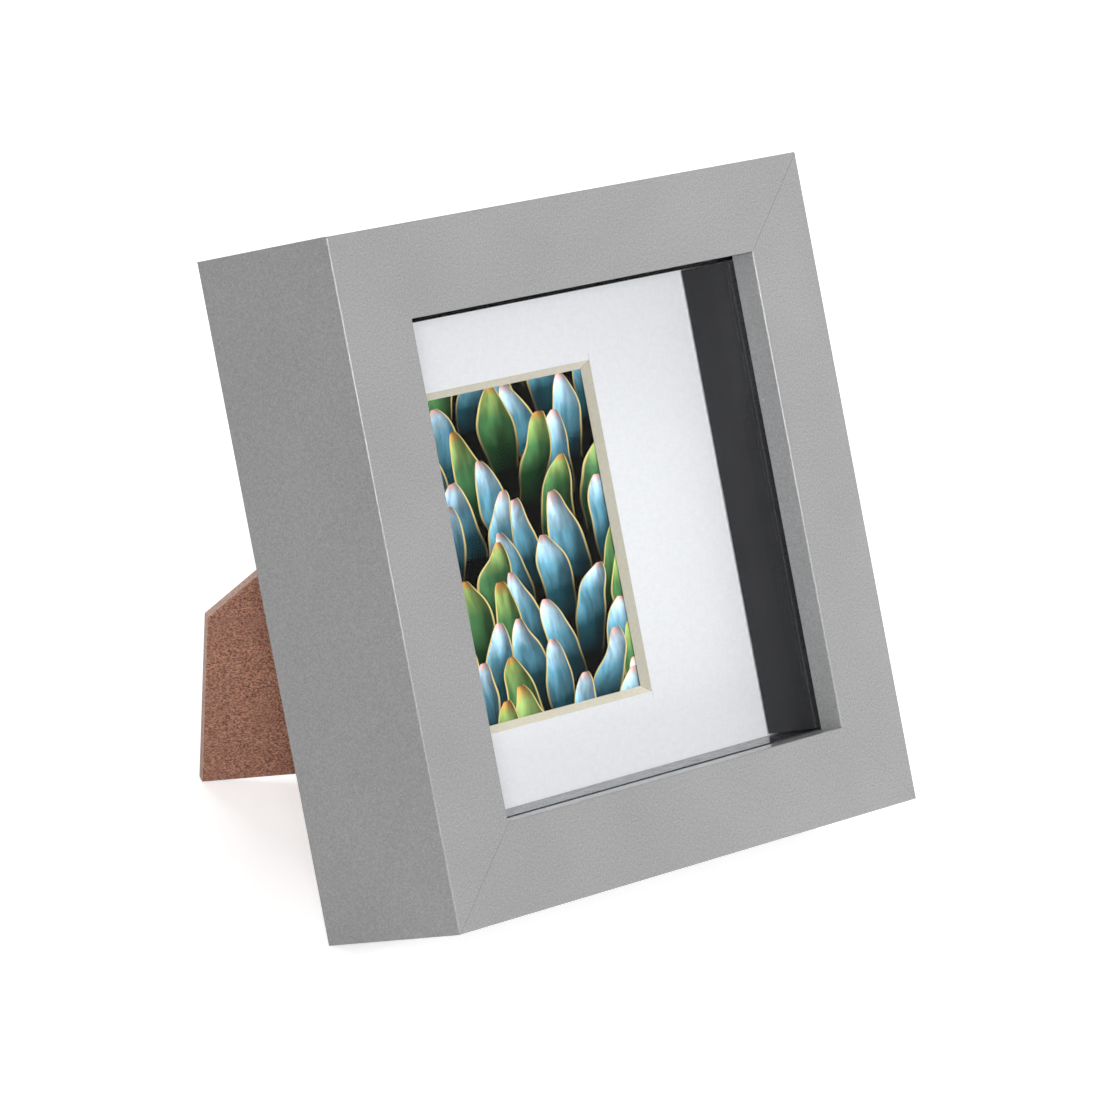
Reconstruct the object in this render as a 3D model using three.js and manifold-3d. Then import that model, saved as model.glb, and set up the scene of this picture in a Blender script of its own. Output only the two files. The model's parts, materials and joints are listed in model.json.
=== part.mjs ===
// Square shadow box picture frame that leans back on a diagonal easel strut.
// Sizes are in millimetres. Inside the leaning group x runs to the right of the picture, y runs up
// it and z comes out of its front, and the origin is at the middle of the front face.
import * as THREE from 'three';
import { mergeVertices } from 'three/addons/utils/BufferGeometryUtils.js';
import Module from 'manifold-3d';

const wasm = await Module();
wasm.setup();

const degrees = Math.PI / 180;

// Moulding: an L section whose lip holds the pane in from the front
const outerSide = 125;
const mouldingDepth = 34;
const faceWidth = 17;
const lipDepth = 5.3;
const wallWidth = 11.3;
const arrisRadius = 0.3;
const mitreGap = 0.2;

// Clearances
const seatGap = 0.3;
const sheetSideGap = 0.4;
const slotClearance = 0.3;
const boreClearance = 0.25;
const rivetClearance = 0.3;
const foldClearance = 0.3;
const cutterOverrun = 1;

// What lies in the rebate, from the front to the back
const paneThickness = 1.6;
const spacerThickness = 6.2;
const spacerDepth = 11.1;
const matThickness = 1.4;
const windowWidth = 44.6;
const windowHeight = 60.2;
const windowCentreX = -7.8;
const bevelAngle = 45 * degrees;
const printWidth = 52;
const printHeight = 68;
const printThickness = 0.2;
const backingThickness = 2.5;

// Corner nails across the backs of the mitres
const cornerNailHalfSpan = 4;
const cornerNailSlope = 0.6;
const cornerNailThickness = 0.6;
const cornerNailLength = 8;
const cornerNailSink = 0.3;

// Bendable tabs that hold the backing in
const tabWidth = 7;
const tabThickness = 0.6;
const tabTongueLength = 8;
const tabShankLength = 5;
const tabShankProud = 0.3;
const tabAxisFromWall = 0.9;
const tabRootGap = 0.3;
const tabTipRadius = 2.5;
const cornerTabInset = 13.2;
const middleTabInset = 27.2;

// Sawtooth hangers and their nails
const hangerLength = 45;
const hangerHeight = 8.5;
const hangerThickness = 0.8;
const hangerRise = 1.5;
const hangerRaisedLength = 26;
const hangerRampLength = 2.5;
const hangerEndRadius = 2;
const toothCount = 11;
const toothPitch = 2.2;
const toothDepth = 1.8;
const nailInset = 3.5;
const nailShankRadius = 0.6;
const nailLength = 6;
const nailPointLength = 1.2;
const nailHeadRadius = 1.5;
const nailHeadHeight = 0.7;

// Easel strut: a plate with a square foot corner that fits the rebate's corner when folded
const strutThickness = 2.4;
const strutFootEdge = 34.7;
const strutSideTaper = 0.5 * degrees;
const strutTopGap = 0.9;
const strutCornerInset = 0.5;
const hingeInset = 23.4;
const hingeTurn = 49 * degrees;
const openAngle = 41 * degrees;

// Hinge of the strut
const leafThickness = 0.8;
const leafWidth = 28;
const leafLength = 11;
const leafCornerRadius = 3;
const knuckleOuterRadius = 1.7;
const middleKnuckleWidth = 9;
const pinRadius = 0.8;
const pinHeadRadius = 1.3;
const pinHeadThickness = 0.6;
const stopTongueWidth = 6;
const stopTongueLength = 7;
const rivetSpacing = 18;
const rivetFromAxis = 7;
const rivetRadius = 0.85;
const rivetHeadRadius = 1.7;
const rivetHeadThickness = 0.5;

// Domed heads of nails, rivets and the pin: where the dome begins, as shares of radius and height
const domeRadiusShare = 0.78;
const domeHeightShare = 0.75;

// Fineness of the round forms
const arcSteps = 5;
const roundSides = 20;

// Depths, measured back from the front face as negative z
const paneFront = -lipDepth - seatGap;
const spacerFront = paneFront - paneThickness - seatGap;
const matFront = spacerFront - spacerDepth - seatGap;
const printFront = matFront - matThickness - seatGap;
const backingFront = printFront - printThickness - seatGap;
const backingRear = backingFront - backingThickness;
const frameRear = -mouldingDepth;

// Places in the plane of the frame
const halfSide = outerSide / 2;
const rebateHalf = halfSide - wallWidth;
const sheetHalf = rebateHalf - sheetSideGap;
const wallMiddle = halfSide - wallWidth / 2;
const cornerTabPlace = rebateHalf - cornerTabInset;
const middleTabPlace = rebateHalf - middleTabInset;
const nailPlace = hangerLength / 2 - nailInset;
const quarterTurn = Math.PI / 2;

const materials = {
  lacqueredWood: { color: 0xa9a9a8, roughness: 0.45, metalness: 0 },
  clearGlass: { color: 0xf2f6f5, roughness: 0.03, metalness: 0, transparent: true, opacity: 0.25 },
  blackFoam: { color: 0x151516, roughness: 0.6, metalness: 0 },
  matBoard: { color: 0xeeeeea, roughness: 0.9, metalness: 0 },
  printPaper: { color: 0x4f6f62, roughness: 0.7, metalness: 0 },
  hardboard: { color: 0x8b6455, roughness: 0.8, metalness: 0 },
  steel: { color: 0xa9abad, roughness: 0.35, metalness: 0.9 },
};

const leaningFrame = new THREE.Group();
const hinge = new THREE.Group();
const openStrut = new THREE.Group();
leaningFrame.add(hinge);
hinge.add(openStrut);

function addPiece(parent, name, geometry, material) {
  const mesh = new THREE.Mesh(geometry, new THREE.MeshStandardMaterial(materials[material]));
  mesh.name = name;
  parent.add(mesh);
  return mesh;
}

// Booleans
function solidOf(geometry) {
  const bare = geometry.clone();
  bare.deleteAttribute('normal');
  bare.deleteAttribute('uv');
  const merged = mergeVertices(bare, 1e-4);
  return new wasm.Manifold(new wasm.Mesh({
    numProp: 3,
    vertProperties: new Float32Array(merged.attributes.position.array),
    triVerts: new Uint32Array(merged.index.array),
  }));
}

function geometryOf(solid) {
  const { vertProperties, triVerts } = solid.getMesh();
  const geometry = new THREE.BufferGeometry();
  geometry.setAttribute('position', new THREE.BufferAttribute(vertProperties, 3));
  geometry.setIndex(new THREE.BufferAttribute(triVerts, 1));
  geometry.computeVertexNormals();
  return geometry;
}

function join(...geometries) {
  return geometryOf(geometries.map(solidOf).reduce((whole, next) => whole.add(next)));
}

function cut(geometry, ...cutters) {
  return geometryOf(cutters.map(solidOf).reduce((rest, next) => rest.subtract(next), solidOf(geometry)));
}

// Plain forms
function block(xFrom, xTo, yFrom, yTo, zFrom, zTo) {
  const box = new THREE.BoxGeometry(xTo - xFrom, yTo - yFrom, zTo - zFrom);
  return box.translate((xFrom + xTo) / 2, (yFrom + yTo) / 2, (zFrom + zTo) / 2);
}

function plate(shape, zFrom, zTo) {
  const options = { depth: zTo - zFrom, bevelEnabled: false, curveSegments: arcSteps };
  return new THREE.ExtrudeGeometry(shape, options).translate(0, 0, zFrom);
}

function rodAlongZ(radius, x, y, zFrom, zTo) {
  const rod = new THREE.CylinderGeometry(radius, radius, zTo - zFrom, roundSides);
  return rod.rotateX(quarterTurn).translate(x, y, (zFrom + zTo) / 2);
}

function rodAlongX(radius, xFrom, xTo) {
  const rod = new THREE.CylinderGeometry(radius, radius, xTo - xFrom, roundSides);
  return rod.rotateZ(quarterTurn).translate((xFrom + xTo) / 2, 0, 0);
}

// Half the outline of a domed head, from the head's rim to its top on the axis. Outward is 1 or -1.
function domedHead(radius, height, base, outward) {
  return [
    new THREE.Vector2(radius, base),
    new THREE.Vector2(radius * domeRadiusShare, base + outward * height * domeHeightShare),
    new THREE.Vector2(0, base + outward * height),
  ];
}

// A plate standing on the x axis whose two far corners are rounded
function leafShape(halfWidth, length, cornerRadius) {
  const shape = new THREE.Shape();
  shape.moveTo(-halfWidth, 0);
  shape.lineTo(halfWidth, 0);
  shape.lineTo(halfWidth, length - cornerRadius);
  shape.absarc(halfWidth - cornerRadius, length - cornerRadius, cornerRadius, 0, quarterTurn);
  shape.lineTo(-halfWidth + cornerRadius, length);
  shape.absarc(-halfWidth + cornerRadius, length - cornerRadius, cornerRadius, quarterTurn, Math.PI);
  return shape;
}

// Members of the frame, each drawn as the bottom rail and turned into its place
function mouldingSection() {
  const section = new THREE.Shape();
  section.moveTo(0, frameRear);
  section.lineTo(wallWidth, frameRear);
  section.lineTo(wallWidth, -lipDepth);
  section.lineTo(faceWidth, -lipDepth);
  section.lineTo(faceWidth, -arrisRadius);
  section.absarc(faceWidth - arrisRadius, -arrisRadius, arrisRadius, 0, quarterTurn);
  section.lineTo(arrisRadius, 0);
  section.absarc(arrisRadius, -arrisRadius, arrisRadius, quarterTurn, Math.PI);
  return section;
}

function mitredMoulding() {
  const options = { depth: outerSide, bevelEnabled: false, curveSegments: arcSteps };
  const moulding = new THREE.ExtrudeGeometry(mouldingSection(), options);
  const places = moulding.attributes.position;
  for (let i = 0; i < places.count; i += 1) {
    const fromOuterSide = places.getX(i);
    const depth = places.getY(i);
    const end = places.getZ(i) > halfSide ? 1 : -1;
    const mitreX = end * (halfSide - fromOuterSide - mitreGap * Math.SQRT1_2);
    places.setXYZ(i, mitreX, fromOuterSide - halfSide, depth);
  }
  return moulding;
}

// A corner nail, or with a clearance its slot. It is drawn over the middle of the top, and turned
// into its corner. Nail 0 is at the lower right corner, and the rest follow anticlockwise.
function cornerNail(corner, clearance) {
  const halfSpan = cornerNailHalfSpan + clearance;
  const halfBand = (cornerNailThickness / 2 + clearance) * Math.hypot(1, cornerNailSlope);
  const fall = cornerNailSlope * halfSpan;
  const middle = fall / 2;
  const chevron = new THREE.Shape([
    new THREE.Vector2(-halfSpan, middle - fall - halfBand),
    new THREE.Vector2(0, middle - halfBand),
    new THREE.Vector2(halfSpan, middle - fall - halfBand),
    new THREE.Vector2(halfSpan, middle - fall + halfBand),
    new THREE.Vector2(0, middle + halfBand),
    new THREE.Vector2(-halfSpan, middle - fall + halfBand),
  ]);
  const nailRear = frameRear + cornerNailSink;
  const rear = clearance > 0 ? frameRear - cornerNailSink : nailRear;
  const nail = plate(chevron, rear, nailRear + cornerNailLength + clearance);
  const firstCorner = -0.75 * Math.PI;
  return nail.translate(0, wallMiddle * Math.SQRT2, 0).rotateZ(firstCorner + corner * quarterTurn);
}

function tabSlot(along) {
  const halfWidth = tabWidth / 2 + slotClearance;
  const tabFront = backingRear - seatGap;
  return block(
    along - halfWidth, along + halfWidth,
    -rebateHalf - tabShankLength - slotClearance, -rebateHalf + slotClearance,
    tabFront - tabThickness - slotClearance, tabFront + slotClearance,
  );
}

function nailHole(along) {
  const holeFront = frameRear + nailLength + slotClearance;
  return rodAlongZ(nailShankRadius + slotClearance, along, -wallMiddle, frameRear - seatGap, holeFront);
}

const members = [
  { name: 'bottom_rail', turns: 0, hanger: false, tabs: [['bottom', middleTabPlace]] },
  {
    name: 'right_stile', turns: 1, hanger: true,
    tabs: [['right_lower', -middleTabPlace], ['right_upper', cornerTabPlace]],
  },
  {
    name: 'top_rail', turns: 2, hanger: true,
    tabs: [['top_left', middleTabPlace], ['top_right', -cornerTabPlace]],
  },
  { name: 'left_stile', turns: 3, hanger: false, tabs: [['left', -middleTabPlace]] },
];

function addMembers() {
  for (const { name, turns, tabs, hanger } of members) {
    const cutters = [cornerNail(0, slotClearance), cornerNail(-1, slotClearance)];
    cutters.push(...tabs.map(([, along]) => tabSlot(along)));
    if (hanger) {
      cutters.push(nailHole(-nailPlace), nailHole(nailPlace));
    }
    const member = addPiece(leaningFrame, name, cut(mitredMoulding(), ...cutters), 'lacqueredWood');
    member.rotation.z = turns * quarterTurn;
  }
  const corners = ['lower_right', 'upper_right', 'upper_left', 'lower_left'];
  for (const [index, corner] of corners.entries()) {
    addPiece(leaningFrame, `corner_nail_${corner}`, cornerNail(index, 0), 'steel');
  }
}

// Glass, spacers, mat, print and backing
function addRebateContents() {
  const pane = block(-sheetHalf, sheetHalf, -sheetHalf, sheetHalf, paneFront - paneThickness, paneFront);
  addPiece(leaningFrame, 'glass_pane', pane, 'clearGlass');

  const spacerOuter = rebateHalf - seatGap;
  const spacerInner = spacerOuter - spacerThickness;
  const spacerRear = spacerFront - spacerDepth;
  const sideEnd = spacerInner - seatGap;
  const spacers = {
    spacer_top: [-spacerOuter, spacerOuter, spacerInner, spacerOuter],
    spacer_bottom: [-spacerOuter, spacerOuter, -spacerOuter, -spacerInner],
    spacer_left: [-spacerOuter, -spacerInner, -sideEnd, sideEnd],
    spacer_right: [spacerInner, spacerOuter, -sideEnd, sideEnd],
  };
  for (const [name, sides] of Object.entries(spacers)) {
    addPiece(leaningFrame, name, block(...sides, spacerRear, spacerFront), 'blackFoam');
  }

  const matRear = matFront - matThickness;
  const mat = block(-sheetHalf, sheetHalf, -sheetHalf, sheetHalf, matRear, matFront);
  addPiece(leaningFrame, 'mat_board', cut(mat, bevelledWindow(matRear)), 'matBoard');

  const print = block(
    -printWidth / 2, printWidth / 2, -printHeight / 2, printHeight / 2,
    printFront - printThickness, printFront,
  );
  addPiece(leaningFrame, 'print', print.translate(windowCentreX, 0, 0), 'printPaper');
}

// The window's cutter: it has the window's size at the back of the mat and widens to the front
function bevelledWindow(matRear) {
  const widening = Math.tan(bevelAngle);
  const cutter = block(-0.5, 0.5, -0.5, 0.5, matRear - cutterOverrun, matFront + cutterOverrun);
  const places = cutter.attributes.position;
  for (let i = 0; i < places.count; i += 1) {
    const growth = 2 * widening * (places.getZ(i) - matRear);
    places.setX(i, places.getX(i) * (windowWidth + growth) + windowCentreX);
    places.setY(i, places.getY(i) * (windowHeight + growth));
  }
  return cutter;
}

// Tabs: a shank in the wall's slot, and a tongue whose own x axis is its bend
function tabShank(along) {
  const tabFront = backingRear - seatGap;
  return block(
    along - tabWidth / 2, along + tabWidth / 2,
    -rebateHalf - tabShankLength, -rebateHalf + tabShankProud,
    tabFront - tabThickness, tabFront,
  );
}

function addTabs() {
  for (const { turns, tabs } of members) {
    for (const [place, along] of tabs) {
      const outline = leafShape(tabWidth / 2, tabTongueLength, tabTipRadius);
      const tongue = plate(outline, -tabThickness / 2, tabThickness / 2).translate(0, tabRootGap, 0);
      const side = new THREE.Group();
      side.rotation.z = turns * quarterTurn;
      leaningFrame.add(side);
      addPiece(side, `tab_shank_${place}`, tabShank(along), 'steel');
      const tab = addPiece(side, `tab_${place}`, tongue, 'steel');
      const bendDepth = backingRear - seatGap - tabThickness / 2;
      tab.position.set(along, tabAxisFromWall - rebateHalf, bendDepth);
    }
  }
}

// A sawtooth hanger is where its toothed outline and its cranked side view meet
function hangerOutline() {
  const endX = hangerLength / 2;
  const edgeY = hangerHeight / 2;
  const cornerX = endX - hangerEndRadius;
  const cornerY = edgeY - hangerEndRadius;
  const outline = new THREE.Shape();
  outline.moveTo(-cornerX, -edgeY);
  outline.lineTo(cornerX, -edgeY);
  outline.absarc(cornerX, -cornerY, hangerEndRadius, -quarterTurn, 0);
  outline.absarc(cornerX, cornerY, hangerEndRadius, 0, quarterTurn);
  const firstTooth = toothCount * toothPitch / 2;
  for (let tooth = 0; tooth < toothCount; tooth += 1) {
    const start = firstTooth - tooth * toothPitch;
    outline.lineTo(start, edgeY);
    outline.lineTo(start - toothPitch / 2, edgeY - toothDepth);
  }
  outline.lineTo(-firstTooth, edgeY);
  outline.absarc(-cornerX, cornerY, hangerEndRadius, quarterTurn, Math.PI);
  outline.absarc(-cornerX, -cornerY, hangerEndRadius, Math.PI, 1.5 * Math.PI);
  for (const holeX of [-nailPlace, nailPlace]) {
    const hole = new THREE.Path();
    hole.absarc(holeX, 0, nailShankRadius + slotClearance, 0, 2 * Math.PI, true);
    outline.holes.push(hole);
  }
  return outline;
}

function hangerPlate() {
  const endX = hangerLength / 2;
  const raisedX = hangerRaisedLength / 2;
  const footX = raisedX + hangerRampLength;
  const bends = [
    [-endX, 0], [-footX, 0], [-raisedX, hangerRise], [raisedX, hangerRise], [footX, 0], [endX, 0],
  ];
  const inner = bends.map(([x, rise]) => new THREE.Vector2(x, -rise));
  const outer = bends.map(([x, rise]) => new THREE.Vector2(x, -rise - hangerThickness));
  const sideView = plate(new THREE.Shape([...inner, ...outer.reverse()]), -hangerHeight, hangerHeight);
  const blank = plate(hangerOutline(), -hangerRise - 2 * hangerThickness, hangerThickness);
  return geometryOf(solidOf(sideView.rotateX(quarterTurn)).intersect(solidOf(blank)));
}

function hangerNail(along) {
  const headBase = frameRear - hangerThickness - 2 * seatGap;
  const pointDepth = headBase - frameRear - nailLength;
  const nail = new THREE.LatheGeometry([
    new THREE.Vector2(0, pointDepth),
    new THREE.Vector2(nailShankRadius, pointDepth + nailPointLength),
    new THREE.Vector2(nailShankRadius, 0),
    ...domedHead(nailHeadRadius, nailHeadHeight, 0, 1),
  ], roundSides);
  return nail.rotateX(-quarterTurn).translate(along, -wallMiddle, headBase);
}

function addHangers() {
  for (const { name, turns, hanger } of members) {
    if (hanger) {
      const side = new THREE.Group();
      side.rotation.z = turns * quarterTurn;
      leaningFrame.add(side);
      const place = name.split('_')[0];
      const piece = addPiece(side, `sawtooth_hanger_${place}`, hangerPlate(), 'steel');
      piece.position.set(0, -wallMiddle, frameRear - seatGap);
      addPiece(side, `hanger_nail_${place}_a`, hangerNail(-nailPlace), 'steel');
      addPiece(side, `hanger_nail_${place}_b`, hangerNail(nailPlace), 'steel');
    }
  }
}

// Hinge: its x axis is the pin, its y axis points away from the strut's foot, z is the frame's.
// The strut's own group has the same axes when folded, and is turned open about x.
const axisFromBacking = seatGap + knuckleOuterRadius;
const axisDepth = backingRear - axisFromBacking;
const strutLeafFront = axisFromBacking - foldClearance - rivetHeadThickness - seatGap;
const strutFront = strutLeafFront - leafThickness - seatGap;
const strutRear = strutFront - strutThickness;
const boreRadius = pinRadius + boreClearance;
const knuckleGap = seatGap;

// Folded, the foot corner just clears two walls of the rebate, and its reach to the hinge's axis
// brings the hinge to its distance from the opposite wall
const foldedCorner = -(rebateHalf - strutCornerInset);
const strutReach = (rebateHalf - hingeInset - foldedCorner) / Math.sin(hingeTurn);

// The strut's outline, folded: the foot corner, then anticlockwise
const footCorner = new THREE.Vector2(0, -strutReach);
const alongFrameX = new THREE.Vector2(Math.cos(hingeTurn), Math.sin(hingeTurn));
const alongFrameY = new THREE.Vector2(-Math.sin(hingeTurn), Math.cos(hingeTurn));
const rightShoulder = footCorner.clone().addScaledVector(alongFrameX, strutFootEdge);
const leftShoulder = footCorner.clone().addScaledVector(alongFrameY, strutFootEdge);
const strutTop = -knuckleOuterRadius - strutTopGap;
const rightTop = new THREE.Vector2(
  rightShoulder.x - Math.tan(strutSideTaper) * (strutTop - rightShoulder.y), strutTop,
);
const leftTop = new THREE.Vector2(
  leftShoulder.x + Math.tan(strutSideTaper) * (strutTop - leftShoulder.y), strutTop,
);
const hingeMiddle = (rightTop.x + leftTop.x) / 2;
const rivetPlaces = [hingeMiddle - rivetSpacing / 2, hingeMiddle + rivetSpacing / 2];

hinge.position.set(
  foldedCorner + strutReach * Math.sin(hingeTurn),
  foldedCorner + strutReach * Math.cos(hingeTurn),
  axisDepth,
);
hinge.rotation.z = -hingeTurn;
openStrut.rotation.x = openAngle;

function rivetHoles(y, zFrom, zTo) {
  return rivetPlaces.map((x) => rodAlongZ(rivetRadius + rivetClearance, x, y, zFrom, zTo));
}

// A rivet between two faces that face away from each other, with a head beyond each
function rivet(x, y, rearFace, frontFace) {
  const rear = rearFace - seatGap;
  const front = frontFace + seatGap;
  const body = new THREE.LatheGeometry([
    ...domedHead(rivetHeadRadius, rivetHeadThickness, rear, -1).reverse(),
    new THREE.Vector2(rivetRadius, rear),
    new THREE.Vector2(rivetRadius, front),
    ...domedHead(rivetHeadRadius, rivetHeadThickness, front, 1),
  ], roundSides);
  return body.rotateX(quarterTurn).translate(x, y, 0);
}

function addBacking() {
  const panel = block(-sheetHalf, sheetHalf, -sheetHalf, sheetHalf, backingRear, backingFront);
  const sinkDepth = rivetHeadThickness + 2 * seatGap;
  const sinkRadius = rivetHeadRadius + rivetClearance;
  const holes = rivetHoles(rivetFromAxis, 0, axisFromBacking + backingThickness + seatGap);
  const sinks = rivetPlaces.map((x) => rodAlongZ(
    sinkRadius, x, rivetFromAxis,
    axisFromBacking + backingThickness - sinkDepth, axisFromBacking + backingThickness + seatGap,
  ));
  const { x: hingeX, y: hingeY } = hinge.position;
  const cutters = [...holes, ...sinks].map(
    (cutter) => cutter.rotateZ(-hingeTurn).translate(hingeX, hingeY, axisDepth),
  );
  addPiece(leaningFrame, 'backing_panel', cut(panel, ...cutters), 'hardboard');

  const sinkFloor = axisFromBacking + backingThickness - sinkDepth;
  const leafRear = knuckleOuterRadius - leafThickness;
  for (const [index, x] of rivetPlaces.entries()) {
    addPiece(hinge, `backing_rivet_${index + 1}`, rivet(x, rivetFromAxis, leafRear, sinkFloor), 'steel');
  }
}

function addHingePieces() {
  const halfLeaf = leafWidth / 2;
  const halfMiddle = middleKnuckleWidth / 2;
  const cutReach = knuckleOuterRadius + knuckleGap;
  const bore = rodAlongX(boreRadius, -leafWidth, leafWidth);

  const backPlate = plate(
    leafShape(halfLeaf, leafLength, leafCornerRadius),
    knuckleOuterRadius - leafThickness, knuckleOuterRadius,
  );
  const backBlank = join(backPlate, rodAlongX(knuckleOuterRadius, -halfLeaf, halfLeaf));
  const middleNotch = block(
    -halfMiddle - knuckleGap, halfMiddle + knuckleGap, -cutReach, cutReach, -cutReach, cutReach,
  );
  const backHoles = rivetHoles(rivetFromAxis, 0, cutReach);
  const backLeaf = cut(backBlank, middleNotch, bore).translate(hingeMiddle, 0, 0);
  addPiece(hinge, 'hinge_leaf_back', cut(backLeaf, ...backHoles), 'steel');

  const strutPlate = plate(
    leafShape(halfLeaf, leafLength, leafCornerRadius),
    -strutLeafFront, -strutLeafFront + leafThickness,
  ).rotateX(Math.PI);
  const middleKnuckle = rodAlongX(knuckleOuterRadius, -halfMiddle, halfMiddle);
  const tongueRear = knuckleOuterRadius - leafThickness - seatGap - leafThickness;
  const stopTongue = block(
    -stopTongueWidth / 2, stopTongueWidth / 2, 0, stopTongueLength,
    tongueRear, tongueRear + leafThickness,
  ).rotateX(-openAngle);
  const sideNotches = [-1, 1].map((side) => block(
    Math.min(side * halfMiddle, side * leafWidth), Math.max(side * halfMiddle, side * leafWidth),
    -cutReach, cutReach, -cutReach, cutReach,
  ));
  const strutHoles = rivetHoles(-rivetFromAxis, 0, cutReach);
  const strutBlank = cut(join(cut(strutPlate, ...sideNotches), middleKnuckle, stopTongue), bore);
  const strutLeaf = cut(strutBlank.translate(hingeMiddle, 0, 0), ...strutHoles);
  addPiece(openStrut, 'hinge_leaf_strut', strutLeaf, 'steel');

  const shoulder = halfLeaf + knuckleGap;
  const pin = new THREE.LatheGeometry([
    ...domedHead(pinHeadRadius, pinHeadThickness, -shoulder, -1).reverse(),
    new THREE.Vector2(pinRadius, -shoulder),
    new THREE.Vector2(pinRadius, shoulder),
    ...domedHead(pinHeadRadius, pinHeadThickness, shoulder, 1),
  ], roundSides);
  addPiece(hinge, 'hinge_pin', pin.rotateZ(quarterTurn).translate(hingeMiddle, 0, 0), 'steel');
}

function addStrut() {
  const outline = new THREE.Shape([footCorner, rightShoulder, rightTop, leftTop, leftShoulder]);
  const board = cut(
    plate(outline, strutRear, strutFront),
    ...rivetHoles(-rivetFromAxis, strutRear - seatGap, strutFront + seatGap),
  );
  addPiece(openStrut, 'easel_strut', board, 'hardboard');
  for (const [index, x] of rivetPlaces.entries()) {
    const body = rivet(x, -rivetFromAxis, strutRear, strutLeafFront);
    addPiece(openStrut, `strut_rivet_${index + 1}`, body, 'steel');
  }
}

addMembers();
addRebateContents();
addBacking();
addTabs();
addHangers();
addHingePieces();
addStrut();

// The frame leans until its rear bottom edge and the open strut's foot corner are on one level
leaningFrame.updateMatrixWorld(true);
const foot = openStrut.localToWorld(new THREE.Vector3(footCorner.x, footCorner.y, strutFront));
const lean = Math.atan2(foot.y + halfSide, frameRear - foot.z);
leaningFrame.rotation.x = quarterTurn - lean;

// The origin is on the table, under the middle of the whole
const part = new THREE.Group();
part.add(leaningFrame);
part.updateMatrixWorld(true);
const box = new THREE.Box3().setFromObject(part, true);
part.position.set(-(box.min.x + box.max.x) / 2, -(box.min.y + box.max.y) / 2, -box.min.z);
part.updateMatrixWorld(true);

export default part;
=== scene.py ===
"""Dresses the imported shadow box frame: moulding, glass, spacers, mat, print, hardboard and fittings."""

import json
import math

import bmesh
import bpy
from mathutils import Matrix, Vector


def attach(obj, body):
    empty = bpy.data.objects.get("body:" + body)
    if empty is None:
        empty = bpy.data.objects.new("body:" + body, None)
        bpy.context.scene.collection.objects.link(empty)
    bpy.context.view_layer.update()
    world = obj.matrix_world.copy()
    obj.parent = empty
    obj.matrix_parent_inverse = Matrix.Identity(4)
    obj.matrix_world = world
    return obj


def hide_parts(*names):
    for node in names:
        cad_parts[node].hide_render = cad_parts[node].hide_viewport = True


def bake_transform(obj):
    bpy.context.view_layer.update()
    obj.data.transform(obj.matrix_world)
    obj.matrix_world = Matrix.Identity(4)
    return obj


bl_info = {
    "name": "Shadow Box Frame",
    "version": (1, 0, 0),
    "blender": (4, 5, 0),
    "location": "View3D > Sidebar > Shadow Box",
    "description": "Finishes a square shadow box frame with its mat, easel strut and fittings",
    "category": "Object",
}

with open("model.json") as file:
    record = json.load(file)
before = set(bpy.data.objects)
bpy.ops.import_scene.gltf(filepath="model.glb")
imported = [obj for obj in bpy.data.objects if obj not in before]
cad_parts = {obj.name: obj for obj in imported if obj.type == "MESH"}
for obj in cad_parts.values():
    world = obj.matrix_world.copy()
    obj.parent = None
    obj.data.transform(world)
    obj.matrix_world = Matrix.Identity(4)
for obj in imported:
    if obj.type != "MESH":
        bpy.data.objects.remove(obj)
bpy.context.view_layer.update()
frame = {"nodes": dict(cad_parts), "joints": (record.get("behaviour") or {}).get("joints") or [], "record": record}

MM = 0.001
TOUCHING = 1e-6  # points that are nearer each other than this are one
MEMBERS = ("bottom_rail", "right_stile", "top_rail", "left_stile")
CORNERS = ("lower_right", "upper_right", "upper_left", "lower_left")
TAB_PLACES = ("bottom", "right_lower", "right_upper", "top_left", "top_right", "left")
HANGER_PLACES = ("top", "right")


# The leaning frame's own axes: x along its width, y up its face and z out of its front
def record_mount(name):
    """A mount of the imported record."""
    return next(m for m in frame["record"]["mounts"] if m["name"] == name)


FRAME_UP = -Vector(record_mount("bottom_face")["axis"]).normalized()
FRAME_FRONT = -Vector(record_mount("rear_face_left_stile")["axis"]).normalized()
FRAME_RIGHT = FRAME_UP.cross(FRAME_FRONT).normalized()


def node_span(node, axis):
    """The lowest and highest places of a CAD node along an axis of the row frame."""
    places = [v.co.dot(axis) for v in frame["nodes"][node].data.vertices]
    return min(places), max(places)


def leaning_matrix():
    """From the leaning axes, whose origin is at the middle of the frame's front, to the row frame."""
    middle_right = (node_span("left_stile", FRAME_RIGHT)[0] + node_span("right_stile", FRAME_RIGHT)[1]) / 2
    middle_up = (node_span("bottom_rail", FRAME_UP)[0] + node_span("top_rail", FRAME_UP)[1]) / 2
    front = node_span("bottom_rail", FRAME_FRONT)[1]
    origin = FRAME_RIGHT * middle_right + FRAME_UP * middle_up + FRAME_FRONT * front
    turned = Matrix((FRAME_RIGHT, FRAME_UP, FRAME_FRONT)).transposed().to_4x4()
    return Matrix.Translation(origin) @ turned


LEANING = leaning_matrix()
UPRIGHT = LEANING.inverted()


def leaning_points(node):
    """The corner points of a CAD node in the leaning axes."""
    return [UPRIGHT @ v.co for v in frame["nodes"][node].data.vertices]


def leaning_box(node):
    """The low and high corners of a CAD node's box in the leaning axes."""
    points = leaning_points(node)
    return tuple(Vector(end(p[i] for p in points) for i in range(3)) for end in (min, max))


# The open strut's axes: along the hinge, and out of the strut's front face
def record_joint(name):
    """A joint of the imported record."""
    return next(j for j in frame["joints"] if j["name"] == name)


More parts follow.
